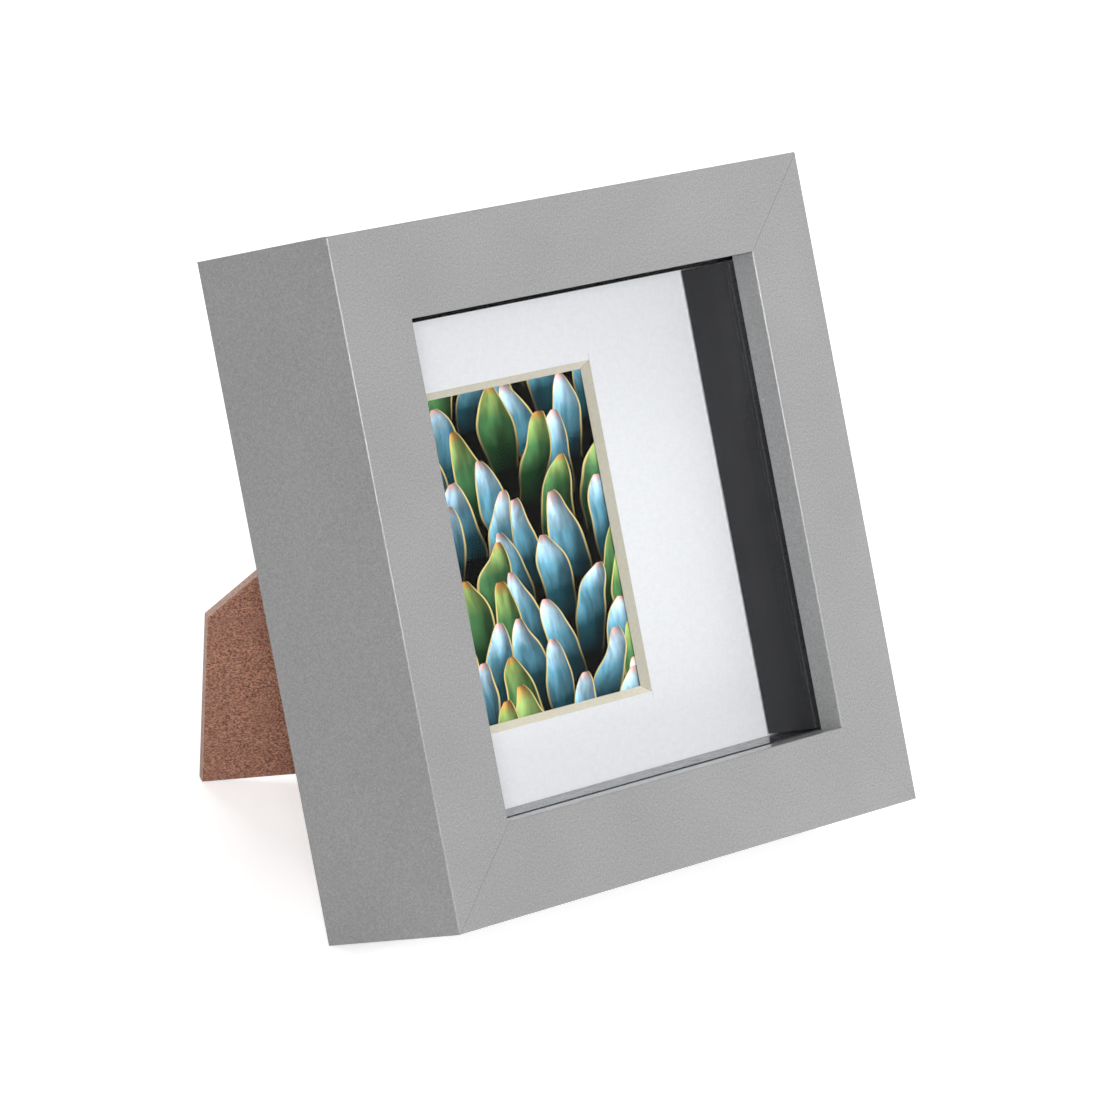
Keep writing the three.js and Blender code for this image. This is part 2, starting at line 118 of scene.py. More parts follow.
STRUT_JOINT = record_joint("strut_fold")
HINGE_ALONG = -Vector(STRUT_JOINT["axis"]).normalized()
STRUT_OPEN = math.radians(STRUT_JOINT["range_deg"][1])
STRUT_FRONT = Matrix.Rotation(STRUT_OPEN, 3, HINGE_ALONG) @ FRAME_FRONT


# Colours
def seen(colour):
    """A colour as it is seen, turned into the linear values that a shader takes."""
    def linear(value):
        return value / 12.92 if value <= 0.04045 else ((value + 0.055) / 1.055) ** 2.4
    return tuple(linear(value) for value in colour[:3]) + (1.0,)


def grey(level):
    """A grey as it is seen."""
    return seen((level, level, level))


def tinted(colour, red, green=None, blue=None):
    """A shader's colour with its red, green and blue each times a share, or all times the first."""
    shares = (red, green or red, blue or red)
    return tuple(value * share for value, share in zip(colour, shares)) + (1.0,)


# Settings
def size_setting(name, description, default):
    """A length in metres that a user may change."""
    return bpy.props.FloatProperty(
        name=name, description=description, default=default, min=0.0, subtype="DISTANCE", unit="LENGTH",
    )


def colour_setting(name, description, default):
    """A colour, given as it is seen."""
    return bpy.props.FloatVectorProperty(
        name=name, description=description, default=default, size=3, min=0.0, max=1.0,
        subtype="COLOR_GAMMA",
    )


def share_setting(name, description, default):
    """A share between none and all."""
    return bpy.props.FloatProperty(
        name=name, description=description, default=default, min=0.0, max=1.0, subtype="FACTOR",
    )


def power_setting(name, description, default):
    """A lamp's power in watts."""
    return bpy.props.FloatProperty(
        name=name, description=description, default=default, min=0.0, unit="POWER",
    )


class MouldingSettings(bpy.types.PropertyGroup):
    """Finish of the four mitred members."""
    lacquer: colour_setting("Lacquer", "Colour of the satin lacquer", (0.596, 0.596, 0.596))
    gloss_roughness: share_setting("Roughness", "How dull the lacquer is", 0.34)
    coat: share_setting("Clear coat", "How much of the lacquer's clear coat shows", 0.6)
    edge_round: size_setting("Edge round", "Rounding of the sawn and planed edges", 0.09 * MM)
    # Painted light: the lacquer is painted darker at the left and lighter at the right, as if lit more from the
    # right.
    painted_light_drift: share_setting("Tone drift", "How much the lacquer's tone changes from left to right", 0.07)
    seam_sink: size_setting("Seam sink", "How far the glue lies under the face in an open mitre", 0.06 * MM)


class SheetSettings(bpy.types.PropertyGroup):
    """Finish of the glass, spacers, mat and print."""
    mat_face: colour_setting("Mat face", "Colour of the mat's face paper", (0.942, 0.944, 0.96))
    mat_core: colour_setting("Upper core", "Colour of the core at the upper cut", (0.895, 0.862, 0.80))
    # Painted light: the lower cut is painted lighter, as if lit from above.
    mat_core_painted_light: colour_setting("Lower core", "Colour of the core at the lower cut", (0.93, 0.90, 0.825))
    # Painted shade: the side cuts are painted darker than the upper cut.
    mat_core_painted_shade: colour_setting("Side core", "Colour of the core at the side cuts", (0.80, 0.775, 0.715))
    mitre_dark: share_setting("Window corner", "How light the joint of two cuts is beside them", 0.62)
    overcut: size_setting("Overcut", "How far a cutter ran past the window's corners", 1.3 * MM)
    paper_round: size_setting("Paper edge", "Rounding of the mat's and the print's edges", 0.03 * MM)
    spacer: colour_setting("Spacer", "Colour of the spacer strips", (0.185, 0.185, 0.197))
    # Painted shade: the top strip is painted near black, standing in for the shadow under the top lip.
    spacer_top: colour_setting("Top spacer", "Colour of the deeper black top strip", (0.02, 0.02, 0.022))
    spacer_front: colour_setting("Spacer front", "Colour of the strips' front edges", (0.2, 0.2, 0.208))
    # Painted light: the strips' fronts under the lip are painted lighter, making up for the lip's shadow.
    spacer_painted_light: colour_setting("Covered front", "Colour of the fronts under the lip", (0.30, 0.30, 0.307))
    spacer_round: size_setting("Spacer edge", "Rounding of the strips' edges", 0.06 * MM)
    settle: size_setting("Settling", "How far the strips have sunk on to the rebate's floor", 0.7 * MM)
    seat: size_setting("Seating", "How far the pane and the strips reach to what they touch", 0.25 * MM)
    glass_edge: size_setting("Glass arris", "Ground edge of the pane", 0.3 * MM)
    leaf_length: size_setting("Print motif", "Length of one leaf of the print", 17.0 * MM)


class HardboardSettings(bpy.types.PropertyGroup):
    """Finish of the backing panel and the strut."""
    face: colour_setting("Face", "Colour of the pressed face", (0.748, 0.552, 0.478))
    edge: colour_setting("Sawn edge", "Colour of the sawn edge", (0.90, 0.76, 0.70))
    edge_round: size_setting("Edge round", "Rounding of the sawn edges", 0.18 * MM)


class FittingSettings(bpy.types.PropertyGroup):
    """Finish of the steel fittings."""
    zinc: colour_setting("Zinc", "Colour of the zinc plate", (0.78, 0.79, 0.80))
    edge_round: size_setting("Hinge edge", "Rounding of the hinge's punched edges", 0.1 * MM)
    tab_round: size_setting("Tab edge", "Rounding of the tabs' edges", 0.08 * MM)
    hanger_round: size_setting("Hanger edge", "Rounding of the hangers' edges", 0.07 * MM)
    dome: size_setting("Head dome", "Height of a rivet head's dome, half that of a nail's", 0.22 * MM)


class StageSettings(bpy.types.PropertyGroup):
    """Floor, lamps and camera."""
    lens: bpy.props.FloatProperty(
        name="Lens", description="Focal length of the camera", default=205.31, min=1.0, unit="CAMERA",
    )
    front_power: power_setting("Front lamp", "Power of the lamp in front", 4.45)
    left_power: power_setting("Left lamp", "Power of the lamp to the left", 2.95)
    high_power: power_setting("High lamp", "Power of the lamp above", 2.1)
    rear_power: power_setting("Rear lamp", "Power of the lamp behind", 3.0)
    room_light: bpy.props.FloatProperty(
        name="Room light", description="Strength of the even light at the horizon", default=0.18, min=0.0,
    )


SETTINGS = {
    "shadow_box_moulding": MouldingSettings,
    "shadow_box_sheets": SheetSettings,
    "shadow_box_hardboard": HardboardSettings,
    "shadow_box_fittings": FittingSettings,
    "shadow_box_stage": StageSettings,
}


# Node trees
class NodeWeb:
    """A node tree that is built by adding nodes with their inputs."""

    def __init__(self, tree):
        self.tree = tree

    def add(self, kind, inputs=None, **settings):
        """A new node. An input is a value or another node's output."""
        node = self.tree.nodes.new(kind)
        for name, value in settings.items():
            setattr(node, name, value)
        for name, value in (inputs or {}).items():
            if isinstance(value, bpy.types.NodeSocket):
                self.tree.links.new(value, node.inputs[name])
            else:
                node.inputs[name].default_value = value
        return node

    def math(self, operation, *values):
        """The result of a Math node."""
        return self.add("ShaderNodeMath", dict(enumerate(values)), operation=operation).outputs[0]

    def swing(self, value, reach):
        """How far a value is above or below a half, times a reach."""
        return self.math("MULTIPLY", self.math("SUBTRACT", value, 0.5), reach)

    def past(self, value, low, high):
        """How far a value is past the nearer end of a range, less than 0 within it."""
        off_middle = self.math("ABSOLUTE", self.math("SUBTRACT", value, (low + high) / 2))
        return self.math("SUBTRACT", off_middle, (high - low) / 2)

    def between(self, value, low, high, out_low=0.0, out_high=1.0):
        """A value moved smoothly from one range to another."""
        inputs = {"Value": value, 1: low, 2: high, 3: out_low, 4: out_high}
        return self.add("ShaderNodeMapRange", inputs, interpolation_type="SMOOTHSTEP").outputs["Result"]

    def spread(self, value, low=0.0, high=1.0):
        """The middle of a noise's range, moved between two values."""
        return self.between(value, 0.3, 0.7, low, high)

    def vector(self, operation, *values):
        """The vector result of a Vector Math node."""
        inputs = dict(enumerate(values))
        return self.add("ShaderNodeVectorMath", inputs, operation=operation).outputs["Vector"]

    def scaled(self, vector, share):
        """A vector or colour times a share."""
        inputs = {0: vector, "Scale": share}
        return self.add("ShaderNodeVectorMath", inputs, operation="SCALE").outputs["Vector"]

    def length(self, vector):
        """How long a vector is."""
        return self.add("ShaderNodeVectorMath", {0: vector}, operation="LENGTH").outputs["Value"]

    def apart(self, vector):
        """The X, Y and Z of a vector."""
        return self.add("ShaderNodeSeparateXYZ", {"Vector": vector}).outputs

    def joined(self, **parts):
        """A vector made from its X, Y and Z."""
        return self.add("ShaderNodeCombineXYZ", parts).outputs[0]

    def stretched(self, place, along_x, along_y):
        """A place whose pattern is drawn out along x or y."""
        return self.add("ShaderNodeMapping", {"Vector": place, "Scale": (along_x, along_y, 1.0)}).outputs[0]

    def mix(self, share, low, high):
        """The colour between two colours."""
        return self.add("ShaderNodeMix", {0: share, 6: low, 7: high}, data_type="RGBA").outputs[2]

    def noise(self, place, scale, detail=2.0, roughness=0.5):
        """The value of a noise texture."""
        inputs = {"Vector": place, "Scale": scale, "Detail": detail, "Roughness": roughness}
        return self.add("ShaderNodeTexNoise", inputs).outputs["Fac"]

    def swayed(self, place, scale, reach):
        """A place moved about by a coarse noise."""
        sway = self.add("ShaderNodeTexNoise", {"Vector": place, "Scale": scale, "Detail": 1.0})
        shift = self.vector("SUBTRACT", sway.outputs["Color"], (0.5, 0.5, 0.5))
        return self.vector("ADD", place, self.scaled(shift, reach))

    def ramp(self, value, places, colours):
        """A colour ramp with a colour at each of its places."""
        node = self.add("ShaderNodeValToRGB", {"Fac": value})
        marks = node.color_ramp.elements
        for index, (place, colour) in enumerate(zip(places, colours)):
            mark = marks[index] if index < 2 else marks.new(place)
            mark.position = place
            mark.color = seen(colour)
        return node.outputs["Color"]


VALUE, VECTOR, COLOUR, GEOMETRY, MATERIAL = (
    f"NodeSocket{kind}" for kind in ("Float", "Vector", "Color", "Geometry", "Material")
)


def new_group(name, inputs, outputs, kind="ShaderNodeTree"):
    """An empty node group. Each of its sockets is given as its type, or as a value's default."""
    tree = bpy.data.node_groups.new(name, kind)
    for in_out, sockets in (("INPUT", inputs), ("OUTPUT", outputs)):
        for label, given in sockets.items():
            default = given if isinstance(given, float) else None
            made = tree.interface.new_socket(
                name=label, in_out=in_out, socket_type=given if default is None else VALUE,
            )
            if default is not None:
                made.default_value = default
    web = NodeWeb(tree)
    return web, web.add("NodeGroupInput").outputs


def end_group(web, results):
    """Leads the results to the outputs of a group, which is then ready."""
    web.add("NodeGroupOutput", results)
    return web.tree


def grain_group():
    """Fine spray grain: it varies a colour and gives a height."""
    web, given = new_group("spray_grain", {
        "Place": VECTOR, "Colour": COLOUR, "Grain Size": 0.3 * MM, "Contrast": 0.05, "Cloud Contrast": 0.03,
    }, {"Colour": COLOUR, "Height": VALUE})
    scale = web.math("DIVIDE", 1.0, given["Grain Size"])
    fine = web.noise(given["Place"], scale, detail=3.0, roughness=0.65)
    cloud = web.noise(given["Place"], scale=42.0)
    change = web.math("ADD", web.swing(fine, given["Contrast"]), web.swing(cloud, given["Cloud Contrast"]))
    varied = web.scaled(given["Colour"], web.math("ADD", 1.0, change))
    return end_group(web, {"Colour": varied, "Height": fine})


def speck_group():
    """Scattered small specks: a mask that is 1 on a speck."""
    web, given = new_group("specks", {
        "Place": VECTOR, "Spacing": 4 * MM, "Radius": 0.2 * MM, "Share": 0.3,
    }, {"Mask": VALUE})
    smallest = 0.35
    scale = web.math("DIVIDE", 1.0, given["Spacing"])
    cells = web.add("ShaderNodeTexVoronoi", {"Vector": given["Place"], "Scale": scale})
    distance = web.math("MULTIPLY", cells.outputs["Distance"], given["Spacing"])
    chance = web.add("ShaderNodeSeparateColor", {"Color": cells.outputs["Color"]}).outputs
    radius = web.math("MULTIPLY", given["Radius"], web.math("ADD", smallest, chance["Green"]))
    inside = web.math("LESS_THAN", distance, radius)
    chosen = web.math("LESS_THAN", chance["Red"], given["Share"])
    return end_group(web, {"Mask": web.math("MULTIPLY", inside, chosen)})


def fibre_group():
    """Short pressed fibres: a value that follows them, which also serves as their height."""
    web, given = new_group("fibres", {"Place": VECTOR, "Fibre Size": 0.4 * MM}, {"Value": VALUE})
    scale = web.math("DIVIDE", 1.0, given["Fibre Size"])
    place = web.swayed(given["Place"], scale=900.0, reach=0.5 * MM)
    along_x, along_y = (
        web.noise(web.stretched(place, *drawn_out), scale) for drawn_out in ((0.3, 1.0), (1.0, 0.3))
    )
    return end_group(web, {"Value": web.math("MULTIPLY", web.math("ADD", along_x, along_y), 0.5)})


def leaf_bed_group():
    """Rows of pointed leaves that overlap: how far out on its leaf a point is, how far along, and more."""
    web, given = new_group(
        "leaf_bed", {"Place": VECTOR, "Leaf Length": 15 * MM},
        {"Edge": VALUE, "Along": VALUE, "Side": VALUE, "Leaf Value": VALUE},
    )
    # Sizes are shares of a leaf's length
    row_height, column_width, half_length = 0.42, 0.62, 0.49
    scatter_across, scatter_up, slant = 0.22, 0.2, 0.9
    half_width, narrowest = 0.35, 0.002
    taper_power, swell_rise, swell_root, swell_power = 0.62, 1.6, 0.3, 0.6
    place = web.apart(given["Place"])
    across, upward = (web.math("DIVIDE", place[axis], given["Leaf Length"]) for axis in "XY")
    first_row = web.math("FLOOR", web.math("DIVIDE", upward, row_height))
    found = {"Edge": 2.0, "Along": 0.0, "Side": 0.0, "Leaf Value": 0.0}
    for rows_down, columns_over in ((2, 0), (2, 1), (1, 0), (1, 1), (0, 0), (0, 1)):
        row = web.math("SUBTRACT", first_row, float(rows_down))
        shift = web.math("MULTIPLY", web.math("ABSOLUTE", web.math("MODULO", row, 2.0)), 0.5)
        columns = web.math("SUBTRACT", web.math("DIVIDE", across, column_width), shift)
        column = web.math("ADD", web.math("FLOOR", columns), float(columns_over))
        cell = web.joined(X=column, Y=row)
        chance = web.add("ShaderNodeTexWhiteNoise", {"Vector": cell}, noise_dimensions="3D").outputs
        random = web.add("ShaderNodeSeparateColor", {"Color": chance["Color"]}).outputs
        root_x = web.math("MULTIPLY", web.math("ADD", column, shift), column_width)
        root_x = web.math("ADD", root_x, web.swing(random["Red"], scatter_across))
        root_y = web.math("MULTIPLY", row, row_height)
        root_y = web.math("ADD", root_y, web.swing(random["Green"], scatter_up))
        away_x = web.math("SUBTRACT", across, root_x)
        away_y = web.math("SUBTRACT", upward, root_y)
        leaf_x = web.math("SUBTRACT", away_x, web.math("MULTIPLY", away_y, web.swing(random["Blue"], slant)))
        reach = web.math("MINIMUM", web.math("MAXIMUM", away_y, 0.0), 1.0)
        taper = web.math("POWER", web.math("SUBTRACT", 1.0, reach), taper_power)
        swell = web.math("ADD", web.math("MULTIPLY", reach, swell_rise), swell_root)
        swell = web.math("POWER", swell, swell_power)
        width = web.math("MULTIPLY", web.math("MULTIPLY", taper, swell), half_width)
        off = web.math("DIVIDE", leaf_x, web.math("MAXIMUM", width, narrowest))
        far = web.math("ABSOLUTE", off)
        off_half = web.math("ABSOLUTE", web.math("SUBTRACT", away_y, half_length))
        on_length = web.math("LESS_THAN", off_half, half_length)
        inside = web.math("MULTIPLY", on_length, web.math("LESS_THAN", far, 1.0))
        take = web.math("MULTIPLY", inside, web.math("GREATER_THAN", found["Edge"], 1.0))
        keep = web.math("SUBTRACT", 1.0, take)
        for name, new in (("Edge", far), ("Along", reach), ("Side", off), ("Leaf Value", chance["Value"])):
            kept = web.math("MULTIPLY", found[name], keep)
            found[name] = web.math("ADD", web.math("MULTIPLY", new, take), kept)
    return end_group(web, found)


GROUP_MAKERS = {
    "spray_grain": grain_group,
    "specks": speck_group,
    "fibres": fibre_group,
    "leaf_bed": leaf_bed_group,
}


def use_group(web, name, inputs):
    """The outputs of one of the shared groups, which is built when it is first used."""
    tree = bpy.data.node_groups.get(name) or GROUP_MAKERS[name]()
    return web.add("ShaderNodeGroup", inputs, node_tree=tree).outputs


def speck_mask(web, place, spacing, radius, share):
    """A mask of scattered specks."""
    inputs = {"Place": place, "Spacing": spacing, "Radius": radius, "Share": share}
    return use_group(web, "specks", inputs)["Mask"]


def fibre_value(web, place, size):
    """A value that follows pressed fibres of a size."""
    return use_group(web, "fibres", {"Place": place, "Fibre Size": size})["Value"]


def overlaid(web, colour, over, mask, strength):
    """A colour with some of another over it where a mask is 1."""
    return web.mix(web.math("MULTIPLY", mask, strength), colour, over)


def row_place(web):
    """The point on the surface in the row frame."""
    return web.add("ShaderNodeTexCoord").outputs["Object"]


def leaning_place(web):
    """The point on the surface in the leaning axes."""
    inputs = {"Vector": row_place(web), "Location": LEANING.translation, "Rotation": LEANING.to_euler()}
    return web.add("ShaderNodeMapping", inputs, vector_type="TEXTURE").outputs["Vector"]


def bumped(web, height, distance):
    """A normal with a small relief."""
    return web.add("ShaderNodeBump", {"Height": height, "Distance": distance}).outputs["Normal"]


def empty_web(holder):
    """The emptied node web of a material or the world."""
    holder.use_nodes = True
    holder.node_tree.nodes.clear()
    return NodeWeb(holder.node_tree)


def new_material(name):
    """An empty material and its node web."""
    material = bpy.data.materials.new(name)
    return material, empty_web(material)


def show(web, shader, kind="Material"):
    """Leads a shader to the output of a material or the world."""
    web.add(f"ShaderNodeOutput{kind}", {"Surface": shader.outputs[0]})


def finished(material, web, inputs):
    """The material with its Principled shader."""
    show(web, web.add("ShaderNodeBsdfPrincipled", inputs))
    return material


# Materials
WHITE = (1.0, 1.0, 1.0, 1.0)
GLASS_TINT = (0.995, 1.0, 0.997, 1.0)
# Painted light: the spacers' fronts are painted lighter from here outwards, where the lip shades them.
LIP_COVERS = (45.35 * MM, 45.55 * MM)  # how far from the middle the lip starts to cover a spacer
LEAF_STOPS = (0.0, 0.3, 0.62, 0.86, 1.0)  # where along a leaf its colours lie, from root to tip
BLUE_LEAF = (
    (0.01, 0.03, 0.035), (0.09, 0.25, 0.29), (0.40, 0.63, 0.72), (0.76, 0.89, 0.97), (0.86, 0.56, 0.46),
)
GREEN_LEAF = (
    (0.01, 0.03, 0.01), (0.08, 0.20, 0.10), (0.28, 0.46, 0.28), (0.60, 0.70, 0.40), (0.85, 0.48, 0.22),
)
LEAF_RIM = (0.95, 0.86, 0.56)
LEAF_GROUND = (0.008, 0.012, 0.01)


def lacquer_material(settings):
    """Satin grey lacquer with a fine spray grain, a few specks, and painted light that makes it lighter towards
    the right.
    """
    material, web = new_material("grey_lacquer")
    place = leaning_place(web)
    grain = use_group(web, "spray_grain", {
        "Place": place, "Colour": seen(settings.lacquer), "Grain Size": 0.36 * MM,
        "Contrast": 1.15, "Cloud Contrast": 0.22,
    })
    dark = speck_mask(web, place, spacing=17 * MM, radius=0.22 * MM, share=0.5)
    pale = speck_mask(web, place, spacing=9 * MM, radius=0.14 * MM, share=0.45)
    colour = overlaid(web, grain["Colour"], grey(0.22), dark, strength=0.75)
    colour = overlaid(web, colour, grey(0.86), pale, strength=0.5)
    # Painted light: the colour is scaled from darker at the left edge to lighter at the right edge.
    right_edge = leaning_box("right_stile")[1].x
    drift = web.between(
        web.apart(place)["X"], -right_edge, right_edge, 1.0 - settings.painted_light_drift, 1.0 + settings.painted_light_drift,
    )
    dull = settings.gloss_roughness
    return finished(material, web, {
        "Base Color": web.scaled(colour, drift),
        "Roughness": web.spread(web.noise(place, scale=700.0), dull - 0.04, dull + 0.05),
        "Coat Weight": settings.coat, "Coat Roughness": 0.14,
        "Normal": bumped(web, grain["Height"], 0.04 * MM),
    })


def glass_material():
    """Clear float glass that lets the light through to what is behind it."""
    material, web = new_material("pane_glass")
    glass = web.add("ShaderNodeBsdfPrincipled", {
        "Base Color": GLASS_TINT, "Roughness": 0.0, "IOR": 1.2, "Transmission Weight": 1.0,
        "Specular Tint": (0.2, 0.2, 0.2, 1.0),
    })
    see_through = web.add("ShaderNodeBsdfTransparent", {"Color": GLASS_TINT})
    paths = web.add("ShaderNodeLightPath").outputs
    light_ray = web.math("MAXIMUM", paths["Is Shadow Ray"], paths["Is Diffuse Ray"])
    show(web, web.add("ShaderNodeMixShader", {0: light_ray, 1: glass.outputs[0], 2: see_through.outputs[0]}))
    return material


def spacer_material(name, colour, gloss, painted_light_under_lip=None):
    """Black strip with a soft sheen and a little pale dust, and, where given, a lighter colour painted under the
    lip as painted light against the lip's shadow.
    """
    material, web = new_material(name)
    place = leaning_place(web)
    base = seen(colour)
    # Painted light: under the lip the colour turns lighter, making up for the lip's shadow.
    if painted_light_under_lip:
        point = web.apart(place)
        across, upward = (web.math("ABSOLUTE", point[axis]) for axis in "XY")
        painted_light_share = web.between(web.math("MAXIMUM", across, upward), *LIP_COVERS)
        base = web.mix(painted_light_share, base, seen(painted_light_under_lip))
    grain = use_group(web, "spray_grain", {
        "Place": place, "Colour": base, "Grain Size": 0.36 * MM, "Contrast": 3.0, "Cloud Contrast": 0.5,
    })
    dust = speck_mask(web, place, spacing=3.4 * MM, radius=0.13 * MM, share=0.4)
    return finished(material, web, {
        "Base Color": overlaid(web, grain["Colour"], grey(0.6), dust, strength=0.75),
        "Roughness": web.spread(web.noise(place, scale=500.0), 0.12, 0.18), "Specular IOR Level": gloss,
    })


def mat_face_material(settings):
    """White face paper with a faint tooth and a fine cut past each corner of the window."""
    material, web = new_material("mat_paper")
    place = leaning_place(web)
    fibres = fibre_value(web, place, 0.5 * MM)
    white = seen(settings.mat_face)
    colour = web.mix(web.between(fibres, 0.35, 0.65), tinted(white, 0.955), white)
    low, high = window_edges()
    point = web.apart(place)
    half_line = 0.045 * MM
    nearest = 1.0  # how far off the nearest cut a point is, less than 0 on it
    for edge in (low.x, high.x):
        for start, end in ((low.y - settings.overcut, low.y), (high.y, high.y + settings.overcut)):
            off_line = web.past(point["X"], edge - half_line, edge + half_line)
            off_cut = web.math("MAXIMUM", off_line, web.past(point["Y"], start, end))
            nearest = web.math("MINIMUM", off_cut, nearest)
    on_cut = web.math("LESS_THAN", nearest, 0.0)
    return finished(material, web, {
        "Base Color": overlaid(web, colour, seen((0.45, 0.44, 0.42)), on_cut, strength=0.55),
        "Roughness": web.spread(fibres, 0.8, 0.9), "Normal": bumped(web, fibres, 0.01 * MM),
    })


def mat_core_material(settings):
    """The mat's cut core: cream board, a little rough, with a dark line where two cuts meet, its lower cut painted
    lighter and its side cuts painted darker as painted light and shade.
    """
    material, web = new_material("mat_core")
    place = leaning_place(web)
    fibres = fibre_value(web, place, 0.35 * MM)
    low, high = window_edges()
    point = web.apart(place)
    off_mitre = web.math(
        "SUBTRACT", web.past(point["Y"], low.y, high.y), web.past(point["X"], low.x, high.x),
    )
    # Painted light and shade: the lower cut is painted lighter and the side cuts darker.
    below = web.math("LESS_THAN", point["Y"], (low.y + high.y) / 2)
    painted_light_cut = web.math("MULTIPLY", web.math("GREATER_THAN", off_mitre, 0.0), below)
    cream = web.mix(painted_light_cut, seen(settings.mat_core), seen(settings.mat_core_painted_light))
    cream = web.mix(web.math("LESS_THAN", off_mitre, 0.0), cream, seen(settings.mat_core_painted_shade))
    crack = web.between(web.math("ABSOLUTE", off_mitre), 0.05 * MM, 0.11 * MM, settings.mitre_dark, 1.0)
    return finished(material, web, {
        "Base Color": web.scaled(cream, web.math("MULTIPLY", web.spread(fibres, 0.88, 1.0), crack)),
        "Roughness": web.spread(fibres, 0.85, 0.95), "Normal": bumped(web, fibres, 0.02 * MM),
    })


def print_material(settings):
    """A generic print: a bed of pointed blue and green leaves with pale rims on a near-black ground."""
    material, web = new_material("leaf_print")
    place = leaning_place(web)
    swayed = web.swayed(place, scale=75.0, reach=6.0 * MM)
    leaves = use_group(web, "leaf_bed", {"Place": swayed, "Leaf Length": settings.leaf_length})
    blue, green = (web.ramp(leaves["Along"], LEAF_STOPS, colours) for colours in (BLUE_LEAF, GREEN_LEAF))
    colour = web.mix(web.between(leaves["Leaf Value"], 0.4, 0.62), blue, green)
    streaks = web.spread(web.noise(web.stretched(swayed, 1.0, 0.3), scale=420.0, detail=4.0), 0.55, 1.35)
    lit = web.between(leaves["Side"], -0.9, 0.9, 1.6, 0.4)
    shaded = web.scaled(colour, web.math("MULTIPLY", streaks, lit))
    rim_light = web.between(leaves["Along"], 0.2, 0.75, 0.08, 1.05)
    rim = web.scaled(seen(LEAF_RIM)[:3], rim_light)
    colour = web.mix(web.between(leaves["Edge"], 0.84, 0.93), shaded, rim)
    off_leaf = web.math("GREATER_THAN", leaves["Edge"], 0.985)
    return finished(material, web, {
        "Base Color": web.mix(off_leaf, colour, seen(LEAF_GROUND)),
        "Roughness": web.spread(web.noise(place, scale=2500.0), 0.5, 0.62), "Specular IOR Level": 0.0,
    })


def hardboard_material(settings):
    """The pressed face: brown fibres with darker specks."""
    material, web = new_material("hardboard_face")
    place = row_place(web)
    fibres = fibre_value(web, place, 0.32 * MM)
    base = seen(settings.face)
    dark, light = tinted(base, 0.42, 0.34, 0.32), tinted(base, 1.5, 1.55, 1.45)
    colour = web.mix(web.between(fibres, 0.38, 0.62), dark, light)
    blotch = web.between(web.noise(place, scale=140.0, detail=3.0), 0.35, 0.65, 0.0, 0.35)
    colour = web.mix(blotch, colour, tinted(base, 0.8))
    flecks = speck_mask(web, place, spacing=1.3 * MM, radius=0.2 * MM, share=0.4)
    spots = speck_mask(web, place, spacing=5.5 * MM, radius=0.34 * MM, share=0.8)
    colour = overlaid(web, colour, seen((0.30, 0.17, 0.14)), flecks, strength=0.6)
    height = web.math("SUBTRACT", fibres, web.math("MULTIPLY", spots, 0.5))
    return finished(material, web, {
        "Base Color": overlaid(web, colour, seen((0.19, 0.11, 0.09)), spots, strength=0.8),
        "Roughness": web.spread(fibres, 0.62, 0.78), "Normal": bumped(web, height, 0.02 * MM),
    })


def sawn_edge_material(settings):
    """The sawn edge: pale and furry."""
    material, web = new_material("hardboard_edge")
    fibres = fibre_value(web, row_place(web), 0.3 * MM)
    base = seen(settings.edge)
    return finished(material, web, {
        "Base Color": web.mix(web.between(fibres, 0.38, 0.6), tinted(base, 0.66), base),
        "Roughness": web.spread(fibres, 0.88, 0.98), "Normal": bumped(web, fibres, 0.05 * MM),
    })


def zinc_material(settings):
    """Bright zinc on punched steel, with fine drawing lines and a cloudy sheen."""
    material, web = new_material("zinc_plate")
    place = leaning_place(web)
    lines = web.noise(web.stretched(place, 0.06, 1.0), scale=5200.0)
    cloud = web.noise(place, scale=260.0, detail=3.0)
    bright = seen(settings.zinc)
    return finished(material, web, {
        "Base Color": web.mix(web.spread(cloud), tinted(bright, 0.72), bright), "Metallic": 1.0,
        "Roughness": web.spread(lines, 0.26, 0.42), "Normal": bumped(web, lines, 0.004 * MM),
    })


def sheets():
    """The settings of the glass, spacers, mat and print."""
    return bpy.context.scene.shadow_box_sheets


MATERIAL_MAKERS = {
    "grey_lacquer": lambda: lacquer_material(bpy.context.scene.shadow_box_moulding),
    "pane_glass": glass_material,
    "black_strip": lambda: spacer_material("black_strip", sheets().spacer, 0.1),
    # Painted light: the side strips' fronts are painted lighter where the lip shades them.
    "strip_edge": lambda: spacer_material("strip_edge", sheets().spacer_front, 0.1, sheets().spacer_painted_light),
    # Painted shade: the near-black top strip stands in for the shadow under the top lip.
    "deep_black_strip": lambda: spacer_material("deep_black_strip", sheets().spacer_top, 0.02),
    "mat_paper": lambda: mat_face_material(sheets()),
    "mat_core": lambda: mat_core_material(sheets()),
    "leaf_print": lambda: print_material(sheets()),
    "hardboard_face": lambda: hardboard_material(bpy.context.scene.shadow_box_hardboard),
    "hardboard_edge": lambda: sawn_edge_material(bpy.context.scene.shadow_box_hardboard),
    "zinc_plate": lambda: zinc_material(bpy.context.scene.shadow_box_fittings),
}


def material_for(name):
    """A finish by its name, made when it is first used."""
    return bpy.data.materials.get(name) or MATERIAL_MAKERS[name]()


# Meshes
FLAT = math.radians(0.5)  # faces that turn less than this are one flat face
CREASE = math.radians(40.0)  # edges that turn more than this stay sharp
FACING = 0.9  # a face whose normal has at least this much of a direction looks along it
SLANTING = 0.7  # just less of two axes than the normal of a mitre has


def new_object(name, data):
    """An object at the origin that holds a mesh, a lamp or a camera."""
    made = bpy.data.objects.new(name, data)
    bpy.context.scene.collection.objects.link(made)
    return made


